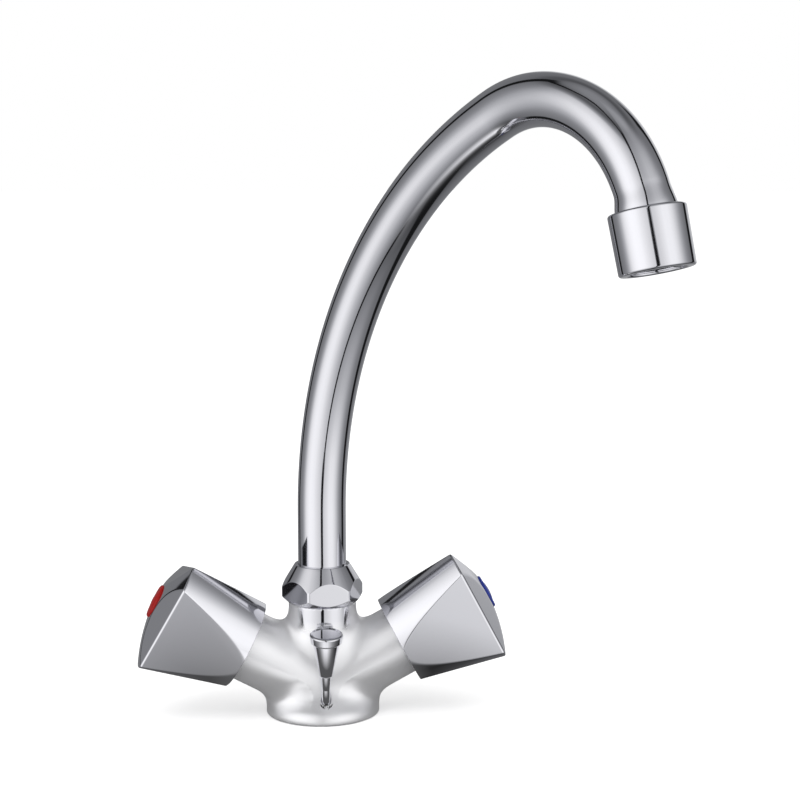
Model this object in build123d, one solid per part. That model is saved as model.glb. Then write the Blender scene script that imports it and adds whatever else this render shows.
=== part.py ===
from build123d import *
import math
import os

# Two-handle basin mixer tap with a swivel spout, in millimetres and degrees.
# The origin is the centre of the base on the deck plane, +Z is up, the hot arm
# points to -X, the cold arm to +X, and the user stands on the -Y side.

# Cast body: base, waist, neck and the two raised arms
BASE_DIAMETER = 52.0
BASE_EDGE_HEIGHT = 6.0
BASE_FOOT_ROUNDING = 0.8
BASE_CREST_ROUNDING = 4.0
WAIST_DIAMETER = 34.0
WAIST_HEIGHT = 16.0
NECK_DIAMETER = 31.0
NECK_START_HEIGHT = 30.0
NECK_HEIGHT = 52.0
SPIGOT_DIAMETER = 28.0
SPIGOT_LENGTH = 8.0
ARM_DIAMETER = 32.6
ARM_ELEVATION = 28.0
ARM_CROSSING_HEIGHT = 13.6
ARM_LENGTH = 46.0
ARM_BLEND_RADIUS = 5.8
ARM_END_CHAMFER = 0.5

# Waterways inside the body
MIXING_BORE_DIAMETER = 19.0
MIXING_FLOOR_HEIGHT = 27.0
FOOT_BORE_DEPTH = 18.0
VALVE_CAVITY_DIAMETER = 20.9
VALVE_CAVITY_DEPTH = 22.0
SEAT_HOLE_DIAMETER = 9.0
SEAT_HOLE_DEPTH = 5.0
SUPPLY_PASSAGE_DIAMETER = 6.0
MIXED_PASSAGE_DIAMETER = 6.0
MIXED_PASSAGE_HEIGHT = 36.5

# Underside: recess, hose sockets, fixing stud hole and gasket groove
RECESS_DIAMETER = 27.0
RECESS_DEPTH = 5.0
INLET_DIAMETER = 9.0
INLET_DEPTH = 9.0
INLET_SPACING = 15.0
INLET_SETBACK = 3.0
STUD_HOLE_DIAMETER = 6.8
STUD_HOLE_DEPTH = 12.0
STUD_HOLE_ADVANCE = 7.0
GASKET_INNER_DIAMETER = 41.2
GASKET_OUTER_DIAMETER = 48.0
GASKET_THICKNESS = 2.3
GASKET_GROOVE_DEPTH = 2.5

# Lift rod for the waste, its bush and its knob
ROD_DIAMETER = 3.8
ROD_LEAN = 8.6
ROD_OFFSET = 17.1
ROD_END_HEIGHT = 0.6
ROD_INSERTION = 12.0
ROD_BUSH_DIAMETER = 5.2
ROD_BUSH_LENGTH = 8.0
KNOB_START = 23.0
KNOB_LENGTH = 19.6
KNOB_TOP_DIAMETER = 14.2
KNOB_HEAD_HEIGHT = 2.8
KNOB_SHOULDER_HEIGHT = 1.4
KNOB_SHOULDER_DIAMETER = 12.2
KNOB_TIP_DIAMETER = 4.4
KNOB_CROWN = 0.2
KNOB_EDGE_ROUNDING = 0.6
KNOB_TIP_ROUNDING = 0.7

# Spout nut with six small flats
NUT_DIAMETER = 37.5
NUT_TOP_DIAMETER = 25.2
NUT_BOTTOM_DIAMETER = 31.2
NUT_HEIGHT = 17.6
NUT_CHAMFER_HEIGHT = 3.0
NUT_BAND_HEIGHT = 4.5
NUT_ACROSS_FLATS = 33.0
NUT_FLAT_COUNT = 6
NUT_TURN = 6.4
NUT_SHOULDER_HEIGHT = 12.6
NUT_THREAD_HEIGHT = 9.6

# Spout tube: an upright foot, a wide bend and a tight bend down to the outlet
SPOUT_SWING = 36.4
TUBE_DIAMETER = 22.0
TUBE_WALL = 1.0
TUBE_STRAIGHT_HEIGHT = 94.2
WIDE_BEND_RADIUS = 200.5
WIDE_BEND_ANGLE = 63.8
TIGHT_BEND_RADIUS = 55.9
TIGHT_BEND_ANGLE = 101.8
FLARE_DIAMETER = 24.4
FLARE_LENGTH = 8.6
SOCKET_DEPTH = 4.0

# Spout foot inside the neck
FOOT_STEP = 0.45
FOOT_COLLAR_DIAMETER = 26.4
FOOT_COLLAR_THICKNESS = 2.5
FOOT_BORE_DIAMETER = 15.0
FOOT_SPIGOT_LENGTH = 9.0
FOOT_RING_POSITIONS = (4.5, 11.0)
FOOT_RING_WIDTH = 2.6
FOOT_RING_DEPTH = 2.0
SLIP_WASHER_THICKNESS = 0.7
SLIP_RING_THICKNESS = 1.2
SLIP_RING_GAP = 2.0

# Outlet collar and the aerator screwed into it
COLLAR_TOP_DIAMETER = 29.8
COLLAR_BOTTOM_DIAMETER = 28.8
COLLAR_LENGTH = 22.9
COLLAR_TOP_ROUNDING = 0.6
COLLAR_BOTTOM_ROUNDING = 0.4
COLLAR_SHOULDER_DEPTH = 9.0
COLLAR_WAY_DIAMETER = 17.0
AERATOR_THREAD_DIAMETER = 23.6
AERATOR_RECESS = 0.8
AERATOR_WALL = 1.4
AERATOR_LIP_WIDTH = 1.3
AERATOR_LIP_HEIGHT = 1.6
AERATOR_SLOT_COUNT = 4
AERATOR_SLOT_WIDTH = 3.0
AERATOR_GASKET_THICKNESS = 1.2
AERATOR_RIB_COUNT = 12
AERATOR_RIB_WIDTH = 0.7
SCREEN_THICKNESS = 0.6
SCREEN_WIRE_COUNT = 7
SCREEN_WIRE_WIDTH = 0.5

# Ceramic disc headwork, one in each arm
SEAL_THICKNESS = 2.0
SEAL_MARGIN = 0.6
FIXED_DISC_THICKNESS = 3.2
TURNING_DISC_THICKNESS = 3.0
DISC_DIAMETER = 16.6
DISC_PORT_DIAMETER = 4.4
DISC_PORT_OFFSET = 4.4
DRIVE_FLANGE_DIAMETER = 13.0
DRIVE_FLANGE_THICKNESS = 3.0
DRIVE_TONGUE_WIDTH = 2.8
DRIVE_TONGUE_HEIGHT = 1.3
SLEEVE_DIAMETER = 18.6
SLEEVE_WINDOW_WIDTH = 7.0
HEADWORK_THREAD_LENGTH = 11.0
HEADWORK_WASHER_THICKNESS = 1.0
HEADWORK_FLANGE_DIAMETER = 24.0
HEADWORK_FLANGE_THICKNESS = 1.5
HEADWORK_HEX_ACROSS_FLATS = 17.0
HEADWORK_HEX_HEIGHT = 5.5
HEADWORK_NECK_DIAMETER = 12.0
HEADWORK_NECK_HEIGHT = 3.0
SPINDLE_DIAMETER = 8.0
SPINDLE_END_GAP = 0.4
SPINDLE_SPLINE_LENGTH = 14.0
SPINDLE_SPLINE_COUNT = 20
SPINDLE_SPLINE_DEPTH = 0.5
SPINDLE_RING_WIDTH = 2.0
SPINDLE_RING_DEPTH = 1.2
SPINDLE_RING_POSITION = 4.0
CLIP_THICKNESS = 0.9
CLIP_DIAMETER = 12.0
CLIP_GROOVE_DEPTH = 0.6
CLIP_OPENING = 3.0

# Three-cornered handle
HANDLE_SKIRT_DIAMETER = 41.7
HANDLE_CORNER_DIAMETER = 60.6
HANDLE_LENGTH = 39.6
HANDLE_CROWN = 6.6
HANDLE_FLAT_DISTANCE = 20.55
HANDLE_END_BEVEL_ANGLE = 27.0
HANDLE_EDGE_ROUNDING = 1.0
HANDLE_OVERLAP = 5.8
HANDLE_WALL = 3.0
HANDLE_ROOF_THICKNESS = 5.6
HANDLE_BOSS_DIAMETER = 19.0
HANDLE_HUB_DIAMETER = 13.0
HANDLE_WEB_THICKNESS = 2.5
HOT_HANDLE_TURN = -17.0
COLD_HANDLE_TURN = -8.0
INSERT_LENGTH = 15.0
INSERT_WEB_THICKNESS = 0.8
SCREW_DIAMETER = 4.0
SCREW_LENGTH = 15.0
SCREW_END_GAP = 1.0
SCREW_HEAD_DIAMETER = 9.0
SCREW_HEAD_HEIGHT = 2.8
SCREW_SOCKET_ACROSS_FLATS = 3.0
SCREW_SOCKET_DEPTH = 1.6
INDEX_DIAMETER = 14.5
INDEX_RIM_HEIGHT = 0.2
INDEX_CROWN = 1.5
INDEX_SEAT_DEPTH = 2.4
INDEX_BOSS_HEIGHT = 0.6
INDEX_SCREW_GAP = 0.5

# Clearances, each on the radius or on one face, and how far cutters overrun
RUNNING_CLEARANCE = 0.05
FITTED_CLEARANCE = 0.05
LOOSE_CLEARANCE = 0.3
CUT_OVERRUN = 1.0

# Places worked out from the sizes above
SPIGOT_TOP = NECK_HEIGHT + SPIGOT_LENGTH
FOOT_RADIUS = TUBE_DIAMETER / 2 + FOOT_STEP
FOOT_BOTTOM = SPIGOT_TOP - FOOT_BORE_DEPTH
FOOT_COLLAR_BOTTOM = SPIGOT_TOP + SLIP_WASHER_THICKNESS + 2 * RUNNING_CLEARANCE
FOOT_COLLAR_TOP = FOOT_COLLAR_BOTTOM + FOOT_COLLAR_THICKNESS
SPOUT_AZIMUTH = -90.0 + SPOUT_SWING
HANDLE_START = ARM_LENGTH - HANDLE_OVERLAP
CAVITY_FLOOR = ARM_LENGTH - VALVE_CAVITY_DEPTH
FIXED_DISC_BOTTOM = CAVITY_FLOOR + SEAL_THICKNESS
TURNING_DISC_BOTTOM = FIXED_DISC_BOTTOM + FIXED_DISC_THICKNESS + RUNNING_CLEARANCE
DRIVE_FLANGE_BOTTOM = TURNING_DISC_BOTTOM + TURNING_DISC_THICKNESS
DRIVE_FLANGE_TOP = DRIVE_FLANGE_BOTTOM + DRIVE_FLANGE_THICKNESS
HEADWORK_FLANGE_BOTTOM = ARM_LENGTH + HEADWORK_WASHER_THICKNESS
HEADWORK_HEX_BOTTOM = HEADWORK_FLANGE_BOTTOM + HEADWORK_FLANGE_THICKNESS
HEADWORK_NECK_BOTTOM = HEADWORK_HEX_BOTTOM + HEADWORK_HEX_HEIGHT
HEADWORK_TOP = HEADWORK_NECK_BOTTOM + HEADWORK_NECK_HEIGHT
CLIP_BOTTOM = HEADWORK_TOP + 2 * RUNNING_CLEARANCE
INDEX_SEAT_RADIUS = INDEX_DIAMETER / 2 + FITTED_CLEARANCE
CUTTER_REACH = 400.0

UPRIGHT = (Align.CENTER, Align.CENTER, Align.MIN)


def turned(*corners):
    """Solid turned about +Z from (radius, height) corners."""
    outline = Polyline(*[(radius, 0, height) for radius, height in corners], close=True)
    return revolve(make_face(outline), Axis.Z)


def ring(inner_radius, outer_radius, bottom, top):
    """Plain ring about +Z."""
    corners = (inner_radius, bottom), (outer_radius, bottom), (outer_radius, top), (inner_radius, top)
    return turned(*corners)


def rod_between(start, end, radius):
    """Round bar from one point to another."""
    way = Vector(*end) - Vector(*start)
    plane = Plane(origin=start, z_dir=way)
    return plane * Cylinder(radius, way.length, align=UPRIGHT)


def crown_drop(rim_radius, crown, radius):
    """How far a crowned end has fallen from its middle at a distance from the axis."""
    sphere = (rim_radius ** 2 + crown ** 2) / (2 * crown)
    return sphere - math.sqrt(sphere ** 2 - radius ** 2)


def crown_line(rim_radius, rim_height, crown):
    """Half the outline of a crowned end, from its rim to the axis."""
    top = rim_height + crown
    half = rim_radius / 2
    return ThreePointArc(
        (rim_radius, 0, rim_height), (half, 0, top - crown_drop(rim_radius, crown, half)), (0, 0, top)
    )


def rims(solid):
    """Full circles among the edges, from the lowest to the highest."""
    circles = solid.edges().filter_by(GeomType.CIRCLE)
    return circles.filter_by(lambda edge: edge.is_closed).sort_by(Axis.Z)


def around(count, piece):
    """The piece repeated at equal angles about +Z."""
    return [Rot(0, 0, 360.0 * step / count) * piece for step in range(count)]


def arm_plane(side, along):
    """Plane square to an arm, its normal along the arm's axis outwards."""
    rise = math.radians(ARM_ELEVATION)
    way = Vector(side * math.cos(rise), 0, math.sin(rise))
    foot = Vector(0, 0, ARM_CROSSING_HEIGHT) + way * along
    return Plane(origin=foot, x_dir=(0, -1, 0), z_dir=way)


def arm_point(side, along):
    """Point on an arm's axis."""
    return tuple(arm_plane(side, along).origin)


def rod_plane(along):
    """Plane square to the lift rod, measured up the rod from the deck plane."""
    lean = math.radians(ROD_LEAN)
    way = Vector(0, -math.sin(lean), math.cos(lean))
    return Plane(origin=Vector(0, -ROD_OFFSET, 0) + way * along, x_dir=(1, 0, 0), z_dir=way)


def handle_turn(side):
    """Angle of the handle's first flat in its own plane, counted from the front."""
    return HOT_HANDLE_TURN if side < 0 else -COLD_HANDLE_TURN


# Cast body

def base_rim(solid, height):
    """Edge round the base at a height."""
    rim = []
    for edge in solid.edges().filter_by(GeomType.CIRCLE):
        box = edge.bounding_box()
        if abs(box.max.Z - height) < 0.01 and abs(box.min.Z - height) < 0.01:
            rim.append(edge)
    return rim


def body_core():
    """Base, waist and neck in one turned form."""
    base, waist, neck = BASE_DIAMETER / 2, WAIST_DIAMETER / 2, NECK_DIAMETER / 2
    sweep = Spline(
        (0, base, BASE_EDGE_HEIGHT),
        (0, waist, WAIST_HEIGHT),
        (0, neck, NECK_START_HEIGHT),
        tangents=((0, -1, 0.15), (0, 0, 1)),
    )
    lower = Polyline((0, 0, 0), (0, base, 0), (0, base, BASE_EDGE_HEIGHT))
    upper = Polyline((0, neck, NECK_START_HEIGHT), (0, neck, NECK_HEIGHT), (0, 0, NECK_HEIGHT), (0, 0, 0))
    core = revolve(make_face(lower + sweep + upper), Axis.Z)
    return fillet(base_rim(core, BASE_EDGE_HEIGHT), BASE_CREST_ROUNDING)


def body_outside():
    """Turned core with both arms blended into it."""
    solid = body_core()
    for side in (-1, 1):
        arm = Rot(0, 0, 90) * Cylinder(ARM_DIAMETER / 2, ARM_LENGTH, align=UPRIGHT)
        solid += arm_plane(side, 0) * arm
    solid -= Pos(0, 0, -CUTTER_REACH / 2) * Box(CUTTER_REACH, CUTTER_REACH, CUTTER_REACH)
    joints = [edge for edge in solid.edges() if edge.geom_type in (GeomType.BSPLINE, GeomType.OTHER)]
    solid = fillet(joints, ARM_BLEND_RADIUS)
    return fillet(base_rim(solid, 0), BASE_FOOT_ROUNDING)


def body_bores():
    """Everything drilled and cored out of the body."""
    foot_bore = FOOT_RADIUS + RUNNING_CLEARANCE
    spigot_top = SPIGOT_TOP + CUT_OVERRUN
    cuts = [
        Pos(0, 0, MIXING_FLOOR_HEIGHT)
        * Cylinder(MIXING_BORE_DIAMETER / 2, spigot_top - MIXING_FLOOR_HEIGHT, align=UPRIGHT),
        Pos(0, 0, FOOT_BOTTOM - LOOSE_CLEARANCE)
        * Cylinder(foot_bore, spigot_top - FOOT_BOTTOM + LOOSE_CLEARANCE, align=UPRIGHT),
        Cylinder(RECESS_DIAMETER / 2, RECESS_DEPTH, align=UPRIGHT),
        Pos(0, -STUD_HOLE_ADVANCE, 0)
        * Cylinder(STUD_HOLE_DIAMETER / 2, RECESS_DEPTH + STUD_HOLE_DEPTH, align=UPRIGHT),
        ring(
            GASKET_INNER_DIAMETER / 2 - FITTED_CLEARANCE,
            GASKET_OUTER_DIAMETER / 2 + FITTED_CLEARANCE,
            -CUT_OVERRUN,
            GASKET_GROOVE_DEPTH,
        ),
    ]
    for side in (-1, 1):
        inlet = (side * INLET_SPACING / 2, INLET_SETBACK, 0)
        inlet_top = (inlet[0], inlet[1], RECESS_DEPTH + INLET_DEPTH)
        seat_start = arm_point(side, CAVITY_FLOOR - SEAT_HOLE_DEPTH)
        cavity_side = (side * arm_point(1, CAVITY_FLOOR)[0], 0, MIXED_PASSAGE_HEIGHT)
        cuts += [
            Pos(*inlet) * Cylinder(INLET_DIAMETER / 2, RECESS_DEPTH + INLET_DEPTH, align=UPRIGHT),
            rod_between(inlet_top, seat_start, SUPPLY_PASSAGE_DIAMETER / 2),
            rod_between(seat_start, arm_point(side, CAVITY_FLOOR + CUT_OVERRUN), SEAT_HOLE_DIAMETER / 2),
            rod_between((0, 0, MIXED_PASSAGE_HEIGHT), cavity_side, MIXED_PASSAGE_DIAMETER / 2),
            arm_plane(side, CAVITY_FLOOR)
            * Cylinder(VALVE_CAVITY_DIAMETER / 2, VALVE_CAVITY_DEPTH + CUT_OVERRUN, align=UPRIGHT),
        ]
    return cuts


def rod_bores():
    """Leaning hole for the lift rod, opened out below for its bush."""
    start = -2 * CUT_OVERRUN
    bush_top = ROD_END_HEIGHT + ROD_BUSH_LENGTH
    return [
        rod_plane(start)
        * Cylinder(ROD_BUSH_DIAMETER / 2 + FITTED_CLEARANCE, bush_top - start, align=UPRIGHT),
        rod_plane(start) * Cylinder(ROD_DIAMETER / 2 + LOOSE_CLEARANCE, KNOB_START, align=UPRIGHT),
    ]


def make_body():
    """Cast and machined body in one piece."""
    solid = body_outside()
    solid += Pos(0, 0, NECK_HEIGHT) * Cylinder(SPIGOT_DIAMETER / 2, SPIGOT_LENGTH, align=UPRIGHT)
    for cut in body_bores() + rod_bores():
        solid -= cut
    return solid


def make_base_gasket():
    """Flat gasket in the groove of the underside, just short of the deck plane."""
    top = GASKET_GROOVE_DEPTH
    return ring(GASKET_INNER_DIAMETER / 2, GASKET_OUTER_DIAMETER / 2, top - GASKET_THICKNESS, top)


# Lift rod

def make_lift_rod():
    """Straight rod from its hole in the base up into the knob."""
    length = KNOB_START + ROD_INSERTION - ROD_END_HEIGHT
    return rod_plane(ROD_END_HEIGHT) * Cylinder(ROD_DIAMETER / 2, length, align=UPRIGHT)


def make_lift_knob():
    """Upside-down cone that carries a wider head with a lightly crowned top."""
    top_radius, tip_radius = KNOB_TOP_DIAMETER / 2, KNOB_TIP_DIAMETER / 2
    head_bottom = KNOB_LENGTH - KNOB_HEAD_HEIGHT
    side_lines = Polyline(
        (0, 0, 0),
        (tip_radius, 0, 0),
        (KNOB_SHOULDER_DIAMETER / 2, 0, head_bottom - KNOB_SHOULDER_HEIGHT),
        (top_radius, 0, head_bottom),
        (top_radius, 0, KNOB_LENGTH),
    )
    crown = crown_line(top_radius, KNOB_LENGTH, KNOB_CROWN)
    axis_line = Line((0, 0, KNOB_LENGTH + KNOB_CROWN), (0, 0, 0))
    knob = revolve(make_face(side_lines + crown + axis_line), Axis.Z)
    knob = fillet([rims(knob)[-1]], KNOB_EDGE_ROUNDING)
    knob = fillet([rims(knob)[0]], KNOB_TIP_ROUNDING)
    knob -= Cylinder(ROD_DIAMETER / 2 + FITTED_CLEARANCE, ROD_INSERTION, align=UPRIGHT)
    return rod_plane(KNOB_START) * knob


def make_rod_bush():
    """Plastic bush that grips and guides the rod."""
    bush = ring(
        ROD_DIAMETER / 2 + RUNNING_CLEARANCE, ROD_BUSH_DIAMETER / 2, 0, ROD_BUSH_LENGTH
    )
    return rod_plane(ROD_END_HEIGHT) * bush


# Spout nut and spout foot

def make_spout_nut():
    """Turned nut with six small flats that break its cone in arches."""
    band, top, bottom = NUT_DIAMETER / 2, NUT_TOP_DIAMETER / 2, NUT_BOTTOM_DIAMETER / 2
    band_top = NUT_CHAMFER_HEIGHT + NUT_BAND_HEIGHT
    thread = SPIGOT_DIAMETER / 2 + FITTED_CLEARANCE
    relief = FOOT_COLLAR_DIAMETER / 2 + LOOSE_CLEARANCE
    opening = TUBE_DIAMETER / 2 + 3 * RUNNING_CLEARANCE
    nut = turned(
        (thread, 0), (bottom, 0), (band, NUT_CHAMFER_HEIGHT), (band, band_top), (top, NUT_HEIGHT),
        (opening, NUT_HEIGHT), (opening, NUT_SHOULDER_HEIGHT), (relief, NUT_SHOULDER_HEIGHT),
        (relief, NUT_THREAD_HEIGHT), (thread, NUT_THREAD_HEIGHT),
    )
    flat = NUT_ACROSS_FLATS / 2
    cutter = Pos(flat + band, 0, NUT_HEIGHT / 2) * Box(2 * band, 2 * NUT_DIAMETER, 2 * NUT_HEIGHT)
    for piece in around(NUT_FLAT_COUNT, cutter):
        nut -= Rot(0, 0, -90 + NUT_TURN) * piece
    return Pos(0, 0, NECK_HEIGHT) * nut


def make_lower_slip_washer():
    """Thin slide washer between the neck's spigot and the foot's collar."""
    bottom = SPIGOT_TOP + RUNNING_CLEARANCE
    return ring(
        FOOT_RADIUS + 2 * RUNNING_CLEARANCE,
        FOOT_COLLAR_DIAMETER / 2,
        bottom,
        bottom + SLIP_WASHER_THICKNESS,
    )


def make_upper_slip_ring():
    """Split slide ring between the foot's collar and the nut's shoulder."""
    bottom = FOOT_COLLAR_TOP + RUNNING_CLEARANCE
    inner = TUBE_DIAMETER / 2 + 2 * RUNNING_CLEARANCE
    band = ring(inner, FOOT_COLLAR_DIAMETER / 2, bottom, bottom + SLIP_RING_THICKNESS)
    gap = Pos(0, FOOT_COLLAR_DIAMETER / 2, bottom) * Box(
        SLIP_RING_GAP, FOOT_COLLAR_DIAMETER, 4 * SLIP_RING_THICKNESS
    )
    return band - gap


def make_spout_foot():
    """Turned foot: ring grooves in the neck, a collar under the nut, a spigot in the tube."""
    bore = FOOT_BORE_DIAMETER / 2
    collar = FOOT_COLLAR_DIAMETER / 2
    spigot = TUBE_DIAMETER / 2 - TUBE_WALL - FITTED_CLEARANCE
    foot = turned(
        (bore, FOOT_BOTTOM), (FOOT_RADIUS, FOOT_BOTTOM), (FOOT_RADIUS, FOOT_COLLAR_BOTTOM),
        (collar, FOOT_COLLAR_BOTTOM), (collar, FOOT_COLLAR_TOP), (spigot, FOOT_COLLAR_TOP),
        (spigot, FOOT_COLLAR_TOP + FOOT_SPIGOT_LENGTH), (bore, FOOT_COLLAR_TOP + FOOT_SPIGOT_LENGTH),
    )
    for place in FOOT_RING_POSITIONS:
        bottom = FOOT_BOTTOM + place - FOOT_RING_WIDTH / 2
        foot -= ring(
            FOOT_RADIUS - FOOT_RING_DEPTH, FOOT_RADIUS + CUT_OVERRUN, bottom, bottom + FOOT_RING_WIDTH
        )
    return foot


def make_foot_ring(place):
    """Rubber ring in one groove of the foot."""
    section = (FOOT_RING_DEPTH - FITTED_CLEARANCE) / 2
    centre = FOOT_RADIUS - FOOT_RING_DEPTH + FITTED_CLEARANCE + section
    return Pos(0, 0, FOOT_BOTTOM + place) * Torus(centre, section)


# Spout

def spout_plane():
    """Upright plane that the spout's centre line lies in, seen with its reach along x."""
    turn = math.radians(SPOUT_AZIMUTH)
    reach = Vector(math.cos(turn), math.sin(turn), 0)
    return Plane(origin=(0, 0, 0), x_dir=reach, z_dir=(math.sin(turn), -math.cos(turn), 0))


def bend(start, heading, radius, angle):
    """Arc that turns down from a heading in degrees: its middle, its end and the new heading."""
    places = []
    for part in (angle / 2, angle):
        turn_from, turn_to = math.radians(heading), math.radians(heading - part)
        places.append((
            start[0] + radius * (math.sin(turn_from) - math.sin(turn_to)),
            start[1] + radius * (math.cos(turn_to) - math.cos(turn_from)),
        ))
    return places[0], places[1], heading - angle


def spout_stations():
    """Points of the centre line in the spout's plane, with the heading at the outlet."""
    foot = (0, FOOT_COLLAR_TOP)
    straight_end = (0, TUBE_STRAIGHT_HEIGHT)
    wide_middle, wide_end, heading = bend(straight_end, 90, WIDE_BEND_RADIUS, WIDE_BEND_ANGLE)
    flare_angle = math.degrees(FLARE_LENGTH / TIGHT_BEND_RADIUS)
    tight = TIGHT_BEND_ANGLE - flare_angle
    tight_middle, tight_end, heading = bend(wide_end, heading, TIGHT_BEND_RADIUS, tight)
    outlet_heading = heading - flare_angle
    flare_turn = math.radians(heading - flare_angle / 2)
    flare_end = (
        tight_end[0] + FLARE_LENGTH * math.cos(flare_turn),
        tight_end[1] + FLARE_LENGTH * math.sin(flare_turn),
    )
    return foot, straight_end, wide_middle, wide_end, tight_middle, tight_end, flare_end, heading, outlet_heading


def spout_path():
    """Centre line of the tube from the foot to the start of its flare."""
    foot, straight_end, wide_middle, wide_end, tight_middle, tight_end = spout_stations()[:6]
    plane = spout_plane()
    points = [plane.from_local_coords((*point, 0)) for point in
              (foot, straight_end, wide_middle, wide_end, tight_middle, tight_end)]
    return Wire([
        Line(points[0], points[1]).edge(),
        ThreePointArc(points[1], points[2], points[3]).edge(),
        ThreePointArc(points[3], points[4], points[5]).edge(),
    ])


def heading_plane(point, heading):
    """Plane square to the centre line at a point, its normal along the flow."""
    plane = spout_plane()
    turn = math.radians(heading)
    origin = plane.from_local_coords((*point, 0))
    way = plane.from_local_coords((math.cos(turn), math.sin(turn), 0))
    return Plane(origin=origin, x_dir=plane.z_dir, z_dir=way)


def outlet_plane():
    """Plane of the collar's top edge, its normal along the water."""
    stations = spout_stations()
    return heading_plane(stations[6], stations[8])


def swept_bar(radius, flare_radius):
    """Bar along the spout's centre line, opened out at its end and run into the collar."""
    path = spout_path()
    start = Plane(origin=path @ 0, z_dir=path % 0)
    bar = sweep(start * Circle(radius), path=path)
    stations = spout_stations()
    flare_start = heading_plane(stations[5], stations[7])
    flare = loft([flare_start * Circle(radius), outlet_plane() * Circle(flare_radius)])
    return bar + flare + outlet_plane() * Cylinder(flare_radius, SOCKET_DEPTH, align=UPRIGHT)


def make_spout_tube():
    """Bent tube with a flared end."""
    radius, flare = TUBE_DIAMETER / 2, FLARE_DIAMETER / 2
    return swept_bar(radius, flare) - swept_bar(radius - TUBE_WALL, flare - TUBE_WALL)


def make_outlet_collar():
    """Lightly tapered collar that holds the tube above and the aerator below."""
    top, bottom = COLLAR_TOP_DIAMETER / 2, COLLAR_BOTTOM_DIAMETER / 2
    socket = FLARE_DIAMETER / 2 + FITTED_CLEARANCE
    way, thread = COLLAR_WAY_DIAMETER / 2, AERATOR_THREAD_DIAMETER / 2 + FITTED_CLEARANCE
    socket_floor = SOCKET_DEPTH + FITTED_CLEARANCE
    collar = turned(
        (socket, 0), (top, 0), (bottom, COLLAR_LENGTH), (thread, COLLAR_LENGTH),
        (thread, COLLAR_SHOULDER_DEPTH), (way, COLLAR_SHOULDER_DEPTH),
        (way, socket_floor), (socket, socket_floor),
    )
    top_edge = [edge for edge in rims(collar) if abs(edge.radius - top) < 0.01]
    collar = fillet(top_edge, COLLAR_TOP_ROUNDING)
    low_edge = [edge for edge in rims(collar) if abs(edge.radius - bottom) < 0.01]
    collar = fillet(low_edge, COLLAR_BOTTOM_ROUNDING)
    return outlet_plane() * collar


def aerator_top():
    """Depth below the collar's top edge of the aerator housing's top."""
    return COLLAR_SHOULDER_DEPTH + AERATOR_GASKET_THICKNESS


def make_aerator_gasket():
    """Rubber ring between the collar's shoulder and the aerator."""
    outer = AERATOR_THREAD_DIAMETER / 2
    return outlet_plane() * ring(outer - AERATOR_WALL, outer, COLLAR_SHOULDER_DEPTH, aerator_top())


def make_aerator_housing():
    """Screwed housing with a lip below and key slots in its rim."""
    outer = AERATOR_THREAD_DIAMETER / 2
    inner = outer - AERATOR_WALL
    low = COLLAR_LENGTH - AERATOR_RECESS
    housing = ring(inner, outer, aerator_top(), low)
    housing += ring(inner - AERATOR_LIP_WIDTH, inner, low - AERATOR_LIP_HEIGHT, low)
    slot = Pos(outer, 0, low) * Box(3 * AERATOR_LIP_WIDTH, AERATOR_SLOT_WIDTH, AERATOR_LIP_HEIGHT)
    for piece in around(AERATOR_SLOT_COUNT, slot):
        housing -= piece
    return outlet_plane() * housing


def make_aerator_insert():
    """Flow former: a cup with a ring of ribs that the water passes between."""
    outer = AERATOR_THREAD_DIAMETER / 2 - AERATOR_WALL - FITTED_CLEARANCE
    low = COLLAR_LENGTH - AERATOR_RECESS - AERATOR_LIP_HEIGHT - SCREEN_THICKNESS
    high = aerator_top()
    insert = ring(outer - AERATOR_RIB_WIDTH, outer, high, low)
    insert += Pos(0, 0, high) * Cylinder(outer / 2, low - high, align=UPRIGHT)
    rib = Pos(outer * 0.7, 0, high) * Box(
        outer * 0.5, AERATOR_RIB_WIDTH, low - high, align=UPRIGHT
    )
    for piece in around(AERATOR_RIB_COUNT, rib):
        insert += piece
    return outlet_plane() * insert


def make_aerator_screen():
    """Fine screen on the housing's lip, drawn as a coarse grid in a rim."""
    outer = AERATOR_THREAD_DIAMETER / 2 - AERATOR_WALL - FITTED_CLEARANCE
    high = COLLAR_LENGTH - AERATOR_RECESS - AERATOR_LIP_HEIGHT - SCREEN_THICKNESS
    rim = AERATOR_LIP_WIDTH
    disc = Cylinder(outer, SCREEN_THICKNESS, align=UPRIGHT)
    pitch = 2 * (outer - rim) / (SCREEN_WIRE_COUNT + 1)
    wires = ring(outer - rim, outer, 0, SCREEN_THICKNESS)
    for step in range(SCREEN_WIRE_COUNT):
        place = (step + 1) * pitch - (outer - rim)
        wire = Box(SCREEN_WIRE_WIDTH, 2 * outer, SCREEN_THICKNESS, align=UPRIGHT)
        wires += (Pos(place, 0, 0) * wire) & disc
        wires += (Rot(0, 0, 90) * (Pos(place, 0, 0) * wire)) & disc
    return outlet_plane() * (Pos(0, 0, high) * wires)


# Headwork, made about +Z and then set into an arm

def make_disc_seal():
    """Rubber ring that presses the fixed disc off the seat."""
    return ring(SEAT_HOLE_DIAMETER / 2 + SEAL_MARGIN, DISC_DIAMETER / 2, CAVITY_FLOOR, FIXED_DISC_BOTTOM)


def ported_disc(thickness, turn):
    """Ceramic disc with two round ports on a line at the turn given."""
    disc = Cylinder(DISC_DIAMETER / 2, thickness, align=UPRIGHT)
    for piece in around(2, Pos(DISC_PORT_OFFSET, 0, 0) * Cylinder(DISC_PORT_DIAMETER / 2, thickness, align=UPRIGHT)):
        disc -= Rot(0, 0, turn) * piece
    return disc


def make_fixed_disc():
    """Disc that stays in the sleeve."""
    return Pos(0, 0, FIXED_DISC_BOTTOM) * ported_disc(FIXED_DISC_THICKNESS, 0)


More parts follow.
